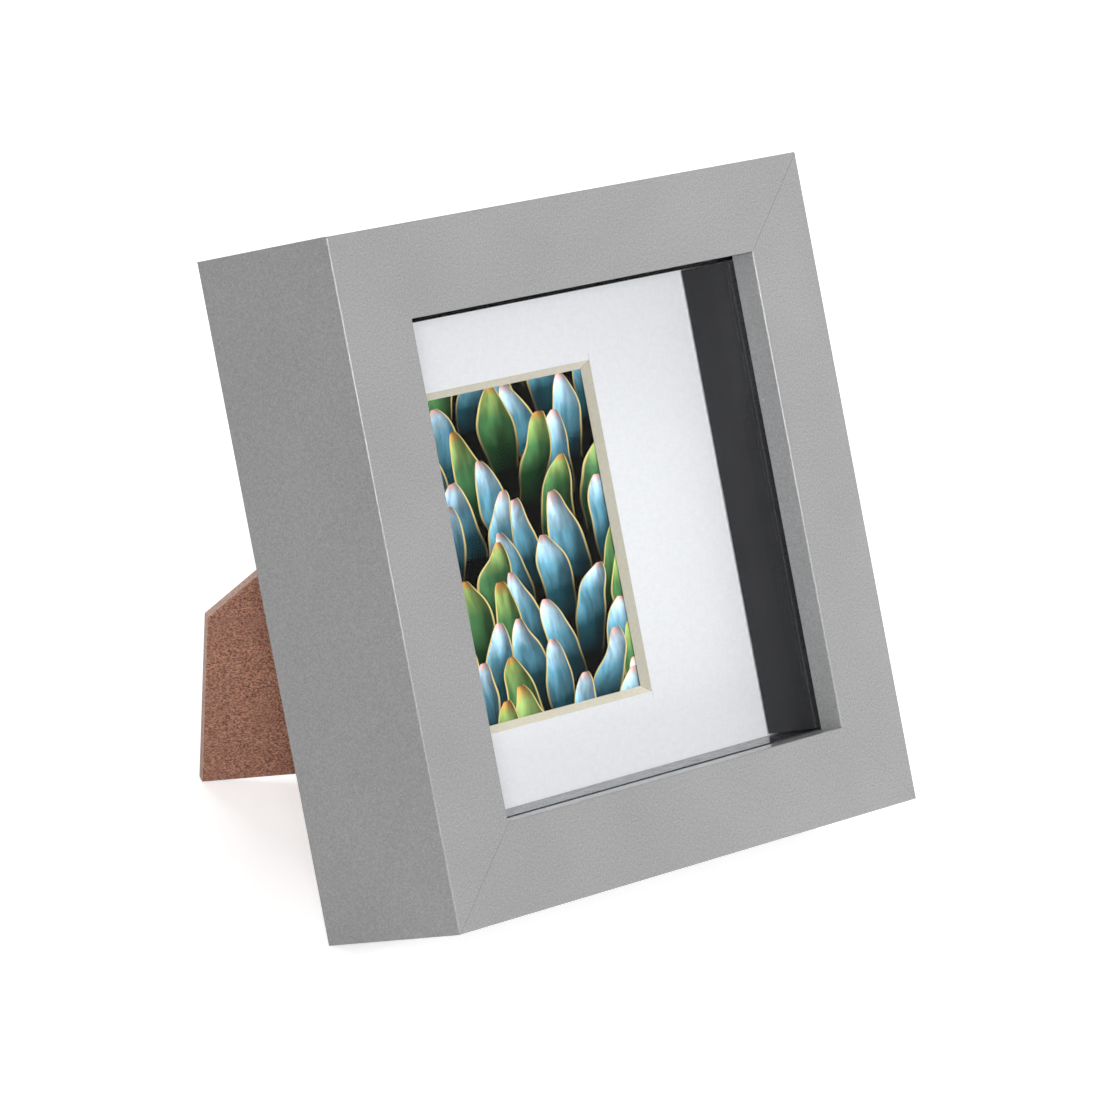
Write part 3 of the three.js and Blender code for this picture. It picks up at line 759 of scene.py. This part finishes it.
def object_from(shape, name, *finishes):
    """An object made from a bmesh, with its finishes."""
    mesh = bpy.data.meshes.new(name)
    shape.to_mesh(mesh)
    shape.free()
    for finish in finishes:
        mesh.materials.append(material_for(finish))
    return new_object(name, mesh)


def apply_modifiers(made):
    """Makes an object's modifiers part of its mesh."""
    depsgraph = bpy.context.evaluated_depsgraph_get()
    mesh = bpy.data.meshes.new_from_object(made.evaluated_get(depsgraph), depsgraph=depsgraph)
    made.modifiers.clear()
    made.data = mesh
    mesh.name = made.name


def add_rounding(made, width, segments):
    """Rounds the marked edges of an object."""
    bevel = made.modifiers.new("edges", "BEVEL")
    bevel.limit_method = "WEIGHT"
    bevel.width = width
    bevel.segments = segments
    bevel.use_clamp_overlap = False


def add_even_normals(made):
    """Shades an object's flat faces flat up to their rounded edges."""
    made.modifiers.new("normals", "WEIGHTED_NORMAL").keep_sharp = True


def clean_copy(node):
    """A CAD node's shape with its loose triangles joined into whole faces."""
    shape = bmesh.new()
    shape.from_mesh(frame["nodes"][node].data)
    bmesh.ops.remove_doubles(shape, verts=shape.verts, dist=TOUCHING)
    bmesh.ops.dissolve_limit(
        shape, angle_limit=FLAT, use_dissolve_boundaries=False, verts=shape.verts, edges=shape.edges,
    )
    return shape


def mark_bevels(shape, shortest, angle=30.0, crisp_face=None):
    """Marks the sharp edges that are long enough to be rounded and touch no face that stays crisp."""
    weight = shape.edges.layers.float.new("bevel_weight_edge")
    for edge in shape.edges:
        sharp = len(edge.link_faces) == 2 and edge.calc_face_angle(0.0) > math.radians(angle)
        crisp = crisp_face and any(crisp_face(face) for face in edge.link_faces)
        if sharp and not crisp and edge.calc_length() > shortest:
            edge[weight] = 1.0


def leaning_normal(face):
    """The way a face looks, in the leaning axes."""
    return (UPRIGHT.to_3x3() @ face.normal).normalized()


def mitre_face(face):
    """Whether a face of a member lies in a mitre."""
    normal = leaning_normal(face)
    return min(abs(normal.x), abs(normal.y)) > SLANTING


def dressed(node, name, rounding, finishes, shortest=1.0 * MM, face_index=None, crisp_face=None):
    """A piece in the place of a CAD node: the same shape with rounded edges and its finish."""
    shape = clean_copy(node)
    mark_bevels(shape, shortest, crisp_face=crisp_face)
    for face in shape.faces:
        face.smooth = True
        if face_index:
            face.material_index = face_index(face)
    piece = object_from(shape, name, *finishes)
    add_rounding(piece, rounding, 3)
    apply_modifiers(piece)
    piece.data.set_sharp_from_angle(angle=CREASE)
    add_even_normals(piece)
    apply_modifiers(piece)
    return piece


def half_moved(piece, axis, side, reach):
    """Moves the half of a piece on one side of its middle along an axis, which changes its length."""
    places = [vertex.co.dot(axis) for vertex in piece.data.vertices]
    middle = (min(places) + max(places)) / 2
    for vertex, place in zip(piece.data.vertices, places):
        if (place - middle) * side > 0.0:
            vertex.co += axis * reach


def place_piece(piece, body, slot, *nodes):
    """Gives a piece its body and lets it stand for its CAD nodes, which it hides. Its slot is not used."""
    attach(piece, body)
    if nodes:
        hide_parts(*nodes)


def window_edges():
    """The low and high corners of the mat's window on its face, in the leaning axes."""
    rim = leaning_box("mat_board")
    face = rim[1].z
    inner = [
        p for p in leaning_points("mat_board")
        if abs(p.z - face) < TOUCHING and min(abs(p[i] - corner[i]) for i in (0, 1) for corner in rim) > MM
    ]
    return tuple(Vector((end(p.x for p in inner), end(p.y for p in inner), face)) for end in (min, max))


# Mitre seams
MITRE_OPENNESS = (0.3, 1.0, 0.15, 0.8)  # in the order of CORNERS
GLUE_HALF = 0.09 * MM  # half the thickness of the glue
OUTER_ARRIS = 0.3 * MM
PANE_GAP = 0.3 * MM  # from the pane to the lip
PANEL_GAP = 0.4 * MM  # from the backing to the rebate's wall


def mitre_glue(corner, section):
    """A thin sheet of glue in a mitre, just under the moulding's faces. Corner 0 is at the lower right."""
    shape = bmesh.new()
    turn = Matrix.Rotation(corner * math.pi / 2, 3, "Z")
    through = Vector((1.0, 1.0, 0.0)).normalized()
    rings = []
    for side in (-GLUE_HALF, GLUE_HALF):
        places = [turn @ (Vector((point.x, -point.x, point.y)) + through * side) for point in section]
        rings.append([shape.verts.new(place) for place in places])
        shape.faces.new(rings[-1])
    low, high = rings
    for index in range(len(section)):
        after = (index + 1) % len(section)
        shape.faces.new((low[index], low[after], high[after], high[index]))
    bmesh.ops.recalc_face_normals(shape, faces=shape.faces)
    shape.transform(LEANING)
    return object_from(shape, f"mitre_glue_{corner + 1}", "grey_lacquer")


def sunk_section(sink):
    """The moulding's L section, sunk by a little all round, as distance from the middle and depth."""
    rail_low, rail_high = leaning_box("bottom_rail")
    half = -leaning_box("left_stile")[0].x - sink
    opening = half + sink - (rail_high.y - rail_low.y) + sink
    rebate = leaning_box("backing_panel")[1].x + PANEL_GAP + sink
    rear = rail_low.z + sink
    lip_rear = leaning_box("glass_pane")[1].z + PANE_GAP + sink
    corners = (
        (opening, -sink), (half - OUTER_ARRIS, -sink), (half, -sink - OUTER_ARRIS), (half, rear),
        (rebate, rear), (rebate, lip_rear), (opening, lip_rear),
    )
    return [Vector(corner) for corner in corners]


class ShadowBoxOperator:
    """What the makers have in common."""
    bl_options = {"REGISTER", "UNDO"}


class OBJECT_OT_shadow_box_moulding(ShadowBoxOperator, bpy.types.Operator):
    """Make the four mitred members and the glue in their mitres"""
    bl_idname = "object.shadow_box_moulding"
    bl_label = "Moulding"

    def execute(self, context):
        settings = context.scene.shadow_box_moulding
        for node in MEMBERS:
            piece = dressed(
                node, f"{node}_moulding", settings.edge_round, ["grey_lacquer"], crisp_face=mitre_face,
            )
            place_piece(piece, "frame", "lacquered_wood", node)
        for corner, share in enumerate(MITRE_OPENNESS):
            glue = mitre_glue(corner, sunk_section(settings.seam_sink * share))
            place_piece(glue, "frame", "lacquered_wood")
        return {"FINISHED"}


class OBJECT_OT_shadow_box_glass(ShadowBoxOperator, bpy.types.Operator):
    """Make the glass pane"""
    bl_idname = "object.shadow_box_glass"
    bl_label = "Glass"

    def execute(self, context):
        settings = context.scene.shadow_box_sheets
        piece = dressed("glass_pane", "glass", settings.glass_edge, ["pane_glass"])
        half_moved(piece, FRAME_FRONT, 1, settings.seat)
        place_piece(piece, "frame", "clear_glass", "glass_pane")
        return {"FINISHED"}


def front_face(face):
    """1 for a face that looks out of the frame's front, and 0 for the others."""
    return 1 if face.normal.dot(FRAME_FRONT) > FACING else 0


class OBJECT_OT_shadow_box_spacers(ShadowBoxOperator, bpy.types.Operator):
    """Make the four black spacer strips"""
    bl_idname = "object.shadow_box_spacers"
    bl_label = "Spacers"

    def execute(self, context):
        settings = context.scene.shadow_box_sheets
        for side in ("top", "bottom", "left", "right"):
            node = f"spacer_{side}"
            # The top strip is painted near black as painted shade under the top lip.
            finishes = ["deep_black_strip"] * 2 if side == "top" else ["black_strip", "strip_edge"]
            piece = dressed(
                node, f"spacer_strip_{side}", settings.spacer_round, finishes, face_index=front_face,
            )
            half_moved(piece, FRAME_FRONT, 1, settings.seat)
            if side == "bottom":
                half_moved(piece, FRAME_UP, 1, -settings.settle)
            elif side != "top":
                half_moved(piece, FRAME_UP, -1, -settings.settle)
            place_piece(piece, "frame", "black_foam", node)
        return {"FINISHED"}


def cut_face(face):
    """0 for the mat's face and back, and 1 for its cut edges."""
    return 0 if abs(leaning_normal(face).z) > FACING else 1


class OBJECT_OT_shadow_box_mat(ShadowBoxOperator, bpy.types.Operator):
    """Make the mat board with its bevelled window"""
    bl_idname = "object.shadow_box_mat"
    bl_label = "Mat"

    def execute(self, context):
        rounding = context.scene.shadow_box_sheets.paper_round
        piece = dressed("mat_board", "mat", rounding, ["mat_paper", "mat_core"], face_index=cut_face)
        place_piece(piece, "frame", "mat_board", "mat_board")
        return {"FINISHED"}


class OBJECT_OT_shadow_box_print(ShadowBoxOperator, bpy.types.Operator):
    """Make the print behind the mat"""
    bl_idname = "object.shadow_box_print"
    bl_label = "Print"

    def execute(self, context):
        rounding = context.scene.shadow_box_sheets.paper_round
        piece = dressed("print", "print_sheet", rounding, ["leaf_print"])
        place_piece(piece, "frame", "print_paper", "print")
        return {"FINISHED"}


def hardboard_piece(node, name, front, settings):
    """A board with pressed faces that look along its front, and sawn edges."""
    def sawn_face(face):
        return 0 if abs(face.normal.dot(front)) > FACING else 1
    return dressed(
        node, name, settings.edge_round, ["hardboard_face", "hardboard_edge"], face_index=sawn_face,
    )


class OBJECT_OT_shadow_box_backing(ShadowBoxOperator, bpy.types.Operator):
    """Make the hardboard backing panel"""
    bl_idname = "object.shadow_box_backing"
    bl_label = "Backing"

    def execute(self, context):
        settings = context.scene.shadow_box_hardboard
        piece = hardboard_piece("backing_panel", "backing", FRAME_FRONT, settings)
        place_piece(piece, "frame", "hardboard", "backing_panel")
        return {"FINISHED"}


class OBJECT_OT_shadow_box_strut(ShadowBoxOperator, bpy.types.Operator):
    """Make the hardboard easel strut"""
    bl_idname = "object.shadow_box_strut"
    bl_label = "Strut"

    def execute(self, context):
        settings = context.scene.shadow_box_hardboard
        piece = hardboard_piece("easel_strut", "strut_board", STRUT_FRONT, settings)
        place_piece(piece, "strut", "hardboard", "easel_strut")
        return {"FINISHED"}


class OBJECT_OT_shadow_box_hinge(ShadowBoxOperator, bpy.types.Operator):
    """Make the hinge's two leaves and its pin"""
    bl_idname = "object.shadow_box_hinge"
    bl_label = "Hinge"

    def execute(self, context):
        rounding = context.scene.shadow_box_fittings.edge_round
        for part, body in (("leaf_back", "frame"), ("leaf_strut", "strut"), ("pin", "frame")):
            node = f"hinge_{part}"
            piece = dressed(node, f"{node}_steel", rounding, ["zinc_plate"])
            place_piece(piece, body, "zinc_steel", node)
        return {"FINISHED"}


# Bendable tabs
TAB_TIP = 2.5 * MM  # radius of the tip's corners
TAB_BEND = (-0.6 * MM, 1.6 * MM)  # where a tab curves when it is bent, inwards from its pivot
BEND_STEPS, TIP_STEPS, ACROSS_STEPS = 14, 8, 8


def tab_stations(start, end):
    """Places along a tab, from its pivot: close together in its bend and at its round tip."""
    bend_start, bend_end = TAB_BEND
    bend_step = (bend_end - bend_start) / BEND_STEPS
    bend = [bend_start + bend_step * i for i in range(BEND_STEPS + 1)]
    tip = [end - TAB_TIP * (1 - math.sin(math.pi / 2 * i / TIP_STEPS)) for i in range(TIP_STEPS + 1)]
    return [start, (start + bend_start) / 2, *bend, (bend_end + tip[0]) / 2, *tip]


def tab_shape(pivot, across, inward, width, thick, start, end):
    """A flat strip with a round tip, from its start to its end as places from the pivot."""
    shape = bmesh.new()
    rear, front = [], []
    stations = tab_stations(start, end)
    for rows, level in ((rear, -thick / 2), (front, thick / 2)):
        for station in stations:
            past = max(0.0, station - (end - TAB_TIP))
            reach = width / 2 - TAB_TIP + math.sqrt(max(0.0, TAB_TIP ** 2 - past ** 2))
            middle = pivot + inward * station + FRAME_FRONT * level
            rows.append([
                shape.verts.new(middle + across * (reach * (2 * step / ACROSS_STEPS - 1)))
                for step in range(ACROSS_STEPS + 1)
            ])
    last = len(stations) - 1
    for i in range(last):
        for j in range(ACROSS_STEPS):
            shape.faces.new((rear[i][j], rear[i][j + 1], rear[i + 1][j + 1], rear[i + 1][j]))
            shape.faces.new((front[i][j], front[i + 1][j], front[i + 1][j + 1], front[i][j + 1]))
        for j in (0, ACROSS_STEPS):
            shape.faces.new((rear[i][j], rear[i + 1][j], front[i + 1][j], front[i][j]))
    for i in (0, last):
        for j in range(ACROSS_STEPS):
            shape.faces.new((rear[i][j], rear[i][j + 1], front[i][j + 1], front[i][j]))
    bmesh.ops.recalc_face_normals(shape, faces=shape.faces)
    mark_bevels(shape, 0.0, angle=60.0)
    for face in shape.faces:
        face.smooth = True
    return shape


def tab_strip(place, rounding):
    """One steel strip from its end in the wall's slot to its tip, and where its bend starts and ends."""
    joint = record_joint(f"tab_{place}_bend")
    pivot = Vector(joint["pos_m"])
    across = -Vector(joint["axis"]).normalized()
    inward = FRAME_FRONT.cross(across).normalized()
    start = node_span(f"tab_shank_{place}", inward)[0] - pivot.dot(inward)
    end = node_span(f"tab_{place}", inward)[1] - pivot.dot(inward)
    width, thick = (
        high - low for low, high in (node_span(f"tab_{place}", axis) for axis in (across, FRAME_FRONT))
    )
    shape = tab_shape(pivot, across, inward, width, thick, start, end)
    strip = object_from(shape, f"tab_strip_{place}", "zinc_plate")
    add_rounding(strip, rounding, 2)
    add_even_normals(strip)
    apply_modifiers(strip)
    return strip, [pivot + inward * station for station in TAB_BEND]


class OBJECT_OT_shadow_box_tabs(ShadowBoxOperator, bpy.types.Operator):
    """Make the bendable tabs that hold the backing in"""
    bl_idname = "object.shadow_box_tabs"
    bl_label = "Tabs"

    def execute(self, context):
        for place in TAB_PLACES:
            strip, (start, end) = tab_strip(place, context.scene.shadow_box_fittings.tab_round)
            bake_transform(strip)
            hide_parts(f"tab_{place}", f"tab_shank_{place}")
        return {"FINISHED"}


class OBJECT_OT_shadow_box_hangers(ShadowBoxOperator, bpy.types.Operator):
    """Make the two sawtooth hangers"""
    bl_idname = "object.shadow_box_hangers"
    bl_label = "Hangers"

    def execute(self, context):
        rounding = context.scene.shadow_box_fittings.hanger_round
        for place in HANGER_PLACES:
            node = f"sawtooth_hanger_{place}"
            piece = dressed(node, f"{node}_steel", rounding, ["zinc_plate"], shortest=0.9 * MM)
            place_piece(piece, "frame", "zinc_steel", node)
        return {"FINISHED"}


# Rivets, nails and corner nails, repeated by geometry nodes
def geometry_tree(name, sizes):
    """A geometry node group that takes points, a material and sizes."""
    inputs = {"Geometry": GEOMETRY, "Material": MATERIAL} | {size: VALUE for size in sizes}
    return new_group(name, inputs, {"Geometry": GEOMETRY}, "GeometryNodeTree")


def end_tree(web, given, piece, turn):
    """Ends a geometry tree in plain copies of a piece, one turned on each point, with their material."""
    copies = web.add("GeometryNodeInstanceOnPoints", {
        "Points": given["Geometry"], "Instance": piece.outputs[0], "Rotation": turn.outputs[0],
    })
    real = web.add("GeometryNodeRealizeInstances", {"Geometry": copies.outputs[0]})
    inputs = {"Geometry": real.outputs[0], "Material": given["Material"]}
    return end_group(web, {"Geometry": web.add("GeometryNodeSetMaterial", inputs).outputs[0]})


def point_direction(web, name):
    """A direction that each point carries."""
    attribute = web.add("GeometryNodeInputNamedAttribute", {"Name": name}, data_type="FLOAT_VECTOR")
    return attribute.outputs["Attribute"]


def raised(web, geometry, height):
    """Geometry moved along z."""
    return web.add("GeometryNodeTransform", {"Geometry": geometry, "Translation": web.joined(Z=height)})


def domed_fastener_tree():
    """A domed head on a round shank at each point, turned to the point's own axis."""
    sizes = ("Head Radius", "Rim", "Dome", "Shank Radius", "Shank Length")
    web, given = geometry_tree("domed_fasteners", sizes)
    head = web.add("GeometryNodeMeshCylinder", {
        "Vertices": 32, "Side Segments": 1, "Fill Segments": 6,
        "Radius": given["Head Radius"], "Depth": given["Rim"],
    }).outputs
    point = web.apart(web.add("GeometryNodeInputPosition").outputs[0])
    from_axis = web.length(web.joined(X=point["X"], Y=point["Y"]))
    share = web.math("DIVIDE", from_axis, given["Head Radius"])
    rise = web.math("SUBTRACT", 1.0, web.math("MULTIPLY", share, share))
    lift = web.joined(Z=web.math("MULTIPLY", rise, given["Dome"]))
    domed = web.add("GeometryNodeSetPosition", {
        "Geometry": head["Mesh"], "Selection": head["Top"], "Offset": lift,
    })
    seated = raised(web, domed.outputs[0], web.math("MULTIPLY", given["Rim"], 0.5))
    shank = web.add("GeometryNodeMeshCylinder", {
        "Vertices": 24, "Radius": given["Shank Radius"], "Depth": given["Shank Length"],
    })
    lowered = raised(web, shank.outputs["Mesh"], web.math("MULTIPLY", given["Shank Length"], -0.5))
    whole = web.add("GeometryNodeJoinGeometry")
    for part in (lowered, seated):
        web.tree.links.new(part.outputs[0], whole.inputs[0])
    turn = web.add("FunctionNodeAlignRotationToVector", {"Vector": point_direction(web, "axis")}, axis="Z")
    return end_tree(web, given, whole, turn)


def corner_nail_tree():
    """A strip folded to a V at each point, its fold towards the point's own axis."""
    sizes = ("Half Span", "Fall", "Thickness", "Length", "Fold Radius")
    web, given = geometry_tree("corner_nails", sizes)
    foot = web.math("MULTIPLY", given["Fall"], -0.5)
    legs = web.add("GeometryNodeCurveQuadraticBezier", {
        "Resolution": 2,
        "Start": web.joined(X=web.math("MULTIPLY", given["Half Span"], -1.0), Y=foot),
        "Middle": web.joined(Y=web.math("MULTIPLY", given["Fall"], 1.5)),
        "End": web.joined(X=given["Half Span"], Y=foot),
    })
    fold = web.add("GeometryNodeFilletCurve", {
        "Curve": legs.outputs[0], "Radius": given["Fold Radius"], "Count": 5,
    }, mode="POLY")
    section = web.add("GeometryNodeCurvePrimitiveQuadrilateral", {
        "Width": given["Thickness"], "Height": given["Length"],
    })
    strip = web.add("GeometryNodeCurveToMesh", {
        "Curve": fold.outputs[0], "Profile Curve": section.outputs[0], "Fill Caps": True,
    })
    turn = web.add("FunctionNodeAxesToRotation", {
        "Primary Axis": point_direction(web, "axis"), "Secondary Axis": point_direction(web, "depth"),
    }, primary_axis="Y", secondary_axis="Z")
    return end_tree(web, given, strip, turn)


def grown(name, tree, places, directions, sizes):
    """Plain meshes grown by a geometry tree on points, each with its own directions."""
    mesh = bpy.data.meshes.new(name)
    mesh.from_pydata([tuple(place) for place in places], [], [])
    for label, vectors in directions.items():
        attribute = mesh.attributes.new(label, "FLOAT_VECTOR", "POINT")
        attribute.data.foreach_set("vector", [value for vector in vectors for value in vector])
    made = new_object(name, mesh)
    modifier = made.modifiers.new(name, "NODES")
    modifier.node_group = tree
    sockets = {item.name: item.identifier for item in tree.interface.items_tree if item.in_out == "INPUT"}
    for label, value in {"Material": material_for("zinc_plate"), **sizes}.items():
        modifier[sockets[label]] = value
    apply_modifiers(made)
    made.data.shade_smooth()
    made.data.set_sharp_from_angle(angle=CREASE)
    return made


def head_points(nodes, axis, rim):
    """The seats of the two heads of each rivet, and the way each head faces."""
    places, axes = [], []
    side = axis.orthogonal().normalized()
    other = axis.cross(side)
    for node in nodes:
        low, high = node_span(node, axis)
        middle = side * (sum(node_span(node, side)) / 2) + other * (sum(node_span(node, other)) / 2)
        for end, facing in ((low + rim, -axis), (high - rim, axis)):
            places.append(middle + axis * end)
            axes.append(facing)
    return places, axes


RIVET_HEAD, NAIL_HEAD = 0.5 * MM, 0.7 * MM  # how high a head is, with its dome
RIVET_RADII = {"Head Radius": 1.7 * MM, "Shank Radius": 0.85 * MM}
NAIL_RADII = {"Head Radius": 1.5 * MM, "Shank Radius": 0.6 * MM}
CORNER_NAIL_FALL = 2.4 * MM
CORNER_NAIL_SIZES = {
    "Half Span": 4.15 * MM, "Fall": CORNER_NAIL_FALL, "Thickness": 1.05 * MM, "Length": 8.0 * MM,
    "Fold Radius": 0.5 * MM,
}


def make_rivets(kind, body, axis, tree, dome):
    """The two rivets of a hinge leaf, along an axis."""
    nodes = [f"{kind}_rivet_{end}" for end in "12"]
    low, high = node_span(nodes[0], axis)
    places, axes = head_points(nodes, axis, RIVET_HEAD)
    rivets = grown(f"{kind}_rivets", tree, places, {"axis": axes}, {
        **RIVET_RADII, "Rim": RIVET_HEAD - dome, "Dome": dome,
        "Shank Length": (high - low) / 2 - RIVET_HEAD,
    })
    place_piece(rivets, body, "zinc_steel", *nodes)


def make_hanger_nails(tree, dome):
    """The nails of both hangers, with their heads at the rear."""
    nodes = [f"hanger_nail_{place}_{end}" for place in HANGER_PLACES for end in "ab"]
    boxes = [leaning_box(node) for node in nodes]
    places = [
        LEANING @ Vector(((low.x + high.x) / 2, (low.y + high.y) / 2, low.z + NAIL_HEAD))
        for low, high in boxes
    ]
    low, high = boxes[0]
    nails = grown("hanger_nails", tree, places, {"axis": [-FRAME_FRONT] * len(nodes)}, {
        **NAIL_RADII, "Rim": NAIL_HEAD - dome, "Dome": dome,
        "Shank Length": high.z - low.z - NAIL_HEAD,
    })
    place_piece(nails, "frame", "zinc_steel", *nodes)


def make_corner_nails():
    """The V-shaped nails across the four mitres, each with its fold outwards."""
    nodes = [f"corner_nail_{corner}" for corner in CORNERS]
    places, axes = [], []
    for node in nodes:
        middle = sum(leaning_box(node), Vector((0.0, 0.0, 0.0))) / 2
        outward = Vector((math.copysign(1.0, middle.x), math.copysign(1.0, middle.y), 0.0)).normalized()
        places.append(LEANING @ (middle + outward * CORNER_NAIL_FALL / 2))
        axes.append(LEANING.to_3x3() @ outward)
    directions = {"axis": axes, "depth": [FRAME_FRONT] * len(nodes)}
    strips = grown("corner_nails", corner_nail_tree(), places, directions, CORNER_NAIL_SIZES)
    place_piece(strips, "frame", "zinc_steel", *nodes)


class OBJECT_OT_shadow_box_fasteners(ShadowBoxOperator, bpy.types.Operator):
    """Make the rivets, the hanger nails and the corner nails"""
    bl_idname = "object.shadow_box_fasteners"
    bl_label = "Fasteners"

    def execute(self, context):
        dome = context.scene.shadow_box_fittings.dome
        domed = domed_fastener_tree()
        make_rivets("backing", "frame", FRAME_FRONT, domed, dome)
        make_rivets("strut", "strut", STRUT_FRONT, domed, dome)
        make_hanger_nails(domed, 2 * dome)
        make_corner_nails()
        return {"FINISHED"}


# Stage. The camera's place is in the leaning axes, and the lamps' places are in the row frame
CAMERA_PLACE = Vector((-0.82477, 0.05263, 0.79373))
CAMERA_BACK = Vector((-0.7102, 0.0467, 0.7025))
CAMERA_UP = Vector((0.1642, 0.9813, 0.1008))
LAMPS = {  # each lamp's place and width
    "front": ((-0.093, -0.93, 0.502), 0.12),
    "left": ((-0.71, -0.61, 0.42), 0.16),
    "high": ((0.16, -0.09, 1.1), 0.5),
    "rear": ((0.25, 0.85, 0.75), 0.4),
}
LAMPS_AIM = Vector((0.0, 0.0, 0.06))
FLOOR_HALF = 3.0
GLOW_NEAR, GLOW_FAR = 0.4, 1.2  # distances from the middle of the floor
FLOOR_GLOW, HORIZON_GLOW = 0.62, 1.0  # the floor's glow nearer and farther than those
ZENITH_SHARE = 1.7  # the room's light above as a share of that at the horizon


def add_camera(settings):
    """The camera of the reference view."""
    data = bpy.data.cameras.new("camera")
    data.lens = settings.lens
    data.sensor_width = 36.0
    data.clip_start = 0.05
    data.clip_end = 30.0
    camera = new_object("camera", data)
    back = CAMERA_BACK.normalized()
    right = CAMERA_UP.cross(back).normalized()
    turned = Matrix((right, back.cross(right), back)).transposed().to_4x4()
    camera.matrix_world = LEANING @ Matrix.Translation(CAMERA_PLACE) @ turned
    bpy.context.scene.camera = camera


def add_lamp(name, place, size, power):
    """A square soft lamp that points at the middle of the frame."""
    data = bpy.data.lights.new(name, "AREA")
    data.size = size
    data.energy = power
    lamp = new_object(name, data)
    lamp.location = place
    lamp.rotation_mode = "QUATERNION"
    lamp.rotation_quaternion = (LAMPS_AIM - Vector(place)).to_track_quat("-Z", "Y")


def seen_rays(web):
    """1 for rays by which the camera, a gloss or the glass sees the surroundings."""
    paths = web.add("ShaderNodeLightPath").outputs
    direct = web.math("MAXIMUM", paths["Is Camera Ray"], paths["Is Glossy Ray"])
    return web.math("MAXIMUM", direct, paths["Is Transmission Ray"])


def floor_material():
    """White floor that keeps a soft shadow, is white to the camera and isn't seen from below."""
    material, web = new_material("floor_white")
    strength = web.between(web.length(row_place(web)), GLOW_NEAR, GLOW_FAR, FLOOR_GLOW, HORIZON_GLOW)
    matt = web.add("ShaderNodeBsdfPrincipled", {"Base Color": (0.8, 0.8, 0.8, 1.0), "Roughness": 0.9})
    glow = web.add("ShaderNodeEmission", {"Color": WHITE, "Strength": strength})
    both = web.add("ShaderNodeAddShader", {0: matt.outputs[0], 1: glow.outputs[0]})
    lit = web.add("ShaderNodeMixShader", {0: seen_rays(web), 1: matt.outputs[0], 2: both.outputs[0]})
    from_below = web.add("ShaderNodeNewGeometry").outputs["Backfacing"]
    clear = web.add("ShaderNodeBsdfTransparent")
    show(web, web.add("ShaderNodeMixShader", {0: from_below, 1: lit.outputs[0], 2: clear.outputs[0]}))
    return material


def add_floor():
    """A wide flat floor under the frame."""
    mesh = bpy.data.meshes.new("floor")
    corners = [(x * FLOOR_HALF, y * FLOOR_HALF, 0.0) for x, y in ((-1, -1), (1, -1), (1, 1), (-1, 1))]
    mesh.from_pydata(corners, [], [(0, 1, 2, 3)])
    mesh.materials.append(floor_material())
    new_object("floor", mesh)


def light_room(strength):
    """Even white light all round, white where the camera, glass and metal see it."""
    world = bpy.data.worlds.new("room")
    bpy.context.scene.world = world
    web = empty_web(world)
    height = web.apart(web.add("ShaderNodeTexCoord").outputs["Generated"])["Z"]
    level = web.between(height, 0.0, 1.0, strength, strength * ZENITH_SHARE)
    even, white = (
        web.add("ShaderNodeBackground", {"Color": WHITE, "Strength": share}) for share in (level, 1.0)
    )
    mixed = web.add("ShaderNodeMixShader", {0: seen_rays(web), 1: even.outputs[0], 2: white.outputs[0]})
    show(web, mixed, "World")


class OBJECT_OT_shadow_box_stage(ShadowBoxOperator, bpy.types.Operator):
    """Make the floor, the lamps and the camera"""
    bl_idname = "object.shadow_box_stage"
    bl_label = "Stage"

    def execute(self, context):
        settings = context.scene.shadow_box_stage
        context.scene.view_settings.view_transform = "Standard"
        add_camera(settings)
        add_floor()
        light_room(settings.room_light)
        for name, (place, size) in LAMPS.items():
            add_lamp(f"{name}_lamp", place, size, getattr(settings, f"{name}_power"))
        return {"FINISHED"}


PIECE_OPERATORS = (
    OBJECT_OT_shadow_box_stage,
    OBJECT_OT_shadow_box_moulding,
    OBJECT_OT_shadow_box_glass,
    OBJECT_OT_shadow_box_spacers,
    OBJECT_OT_shadow_box_mat,
    OBJECT_OT_shadow_box_print,
    OBJECT_OT_shadow_box_backing,
    OBJECT_OT_shadow_box_strut,
    OBJECT_OT_shadow_box_hinge,
    OBJECT_OT_shadow_box_tabs,
    OBJECT_OT_shadow_box_hangers,
    OBJECT_OT_shadow_box_fasteners,
)


class VIEW3D_PT_shadow_box(bpy.types.Panel):
    """Buttons for each group of pieces, with their settings"""
    bl_idname = "VIEW3D_PT_shadow_box"
    bl_label = "Shadow Box Frame"
    bl_space_type = "VIEW_3D"
    bl_region_type = "UI"
    bl_category = "Shadow Box"

    def draw(self, context):
        column = self.layout.column()
        for operator in PIECE_OPERATORS:
            column.operator(operator.bl_idname)
        for name, group in SETTINGS.items():
            settings = getattr(context.scene, name)
            for setting in group.__annotations__:
                column.prop(settings, setting)


CLASSES = (*SETTINGS.values(), *PIECE_OPERATORS, VIEW3D_PT_shadow_box)


def register():
    """Registers the classes and hangs the settings on the scene."""
    for cls in CLASSES:
        bpy.utils.register_class(cls)
    for name, group in SETTINGS.items():
        setattr(bpy.types.Scene, name, bpy.props.PointerProperty(type=group))


def unregister():
    """Takes the settings and classes away again."""
    for name in SETTINGS:
        delattr(bpy.types.Scene, name)
    for cls in reversed(CLASSES):
        bpy.utils.unregister_class(cls)


def main():
    """Makes every piece."""
    register()
    for operator in PIECE_OPERATORS:
        _, name = operator.bl_idname.split(".")
        getattr(bpy.ops.object, name)()


if __name__ == "__main__":
    main()
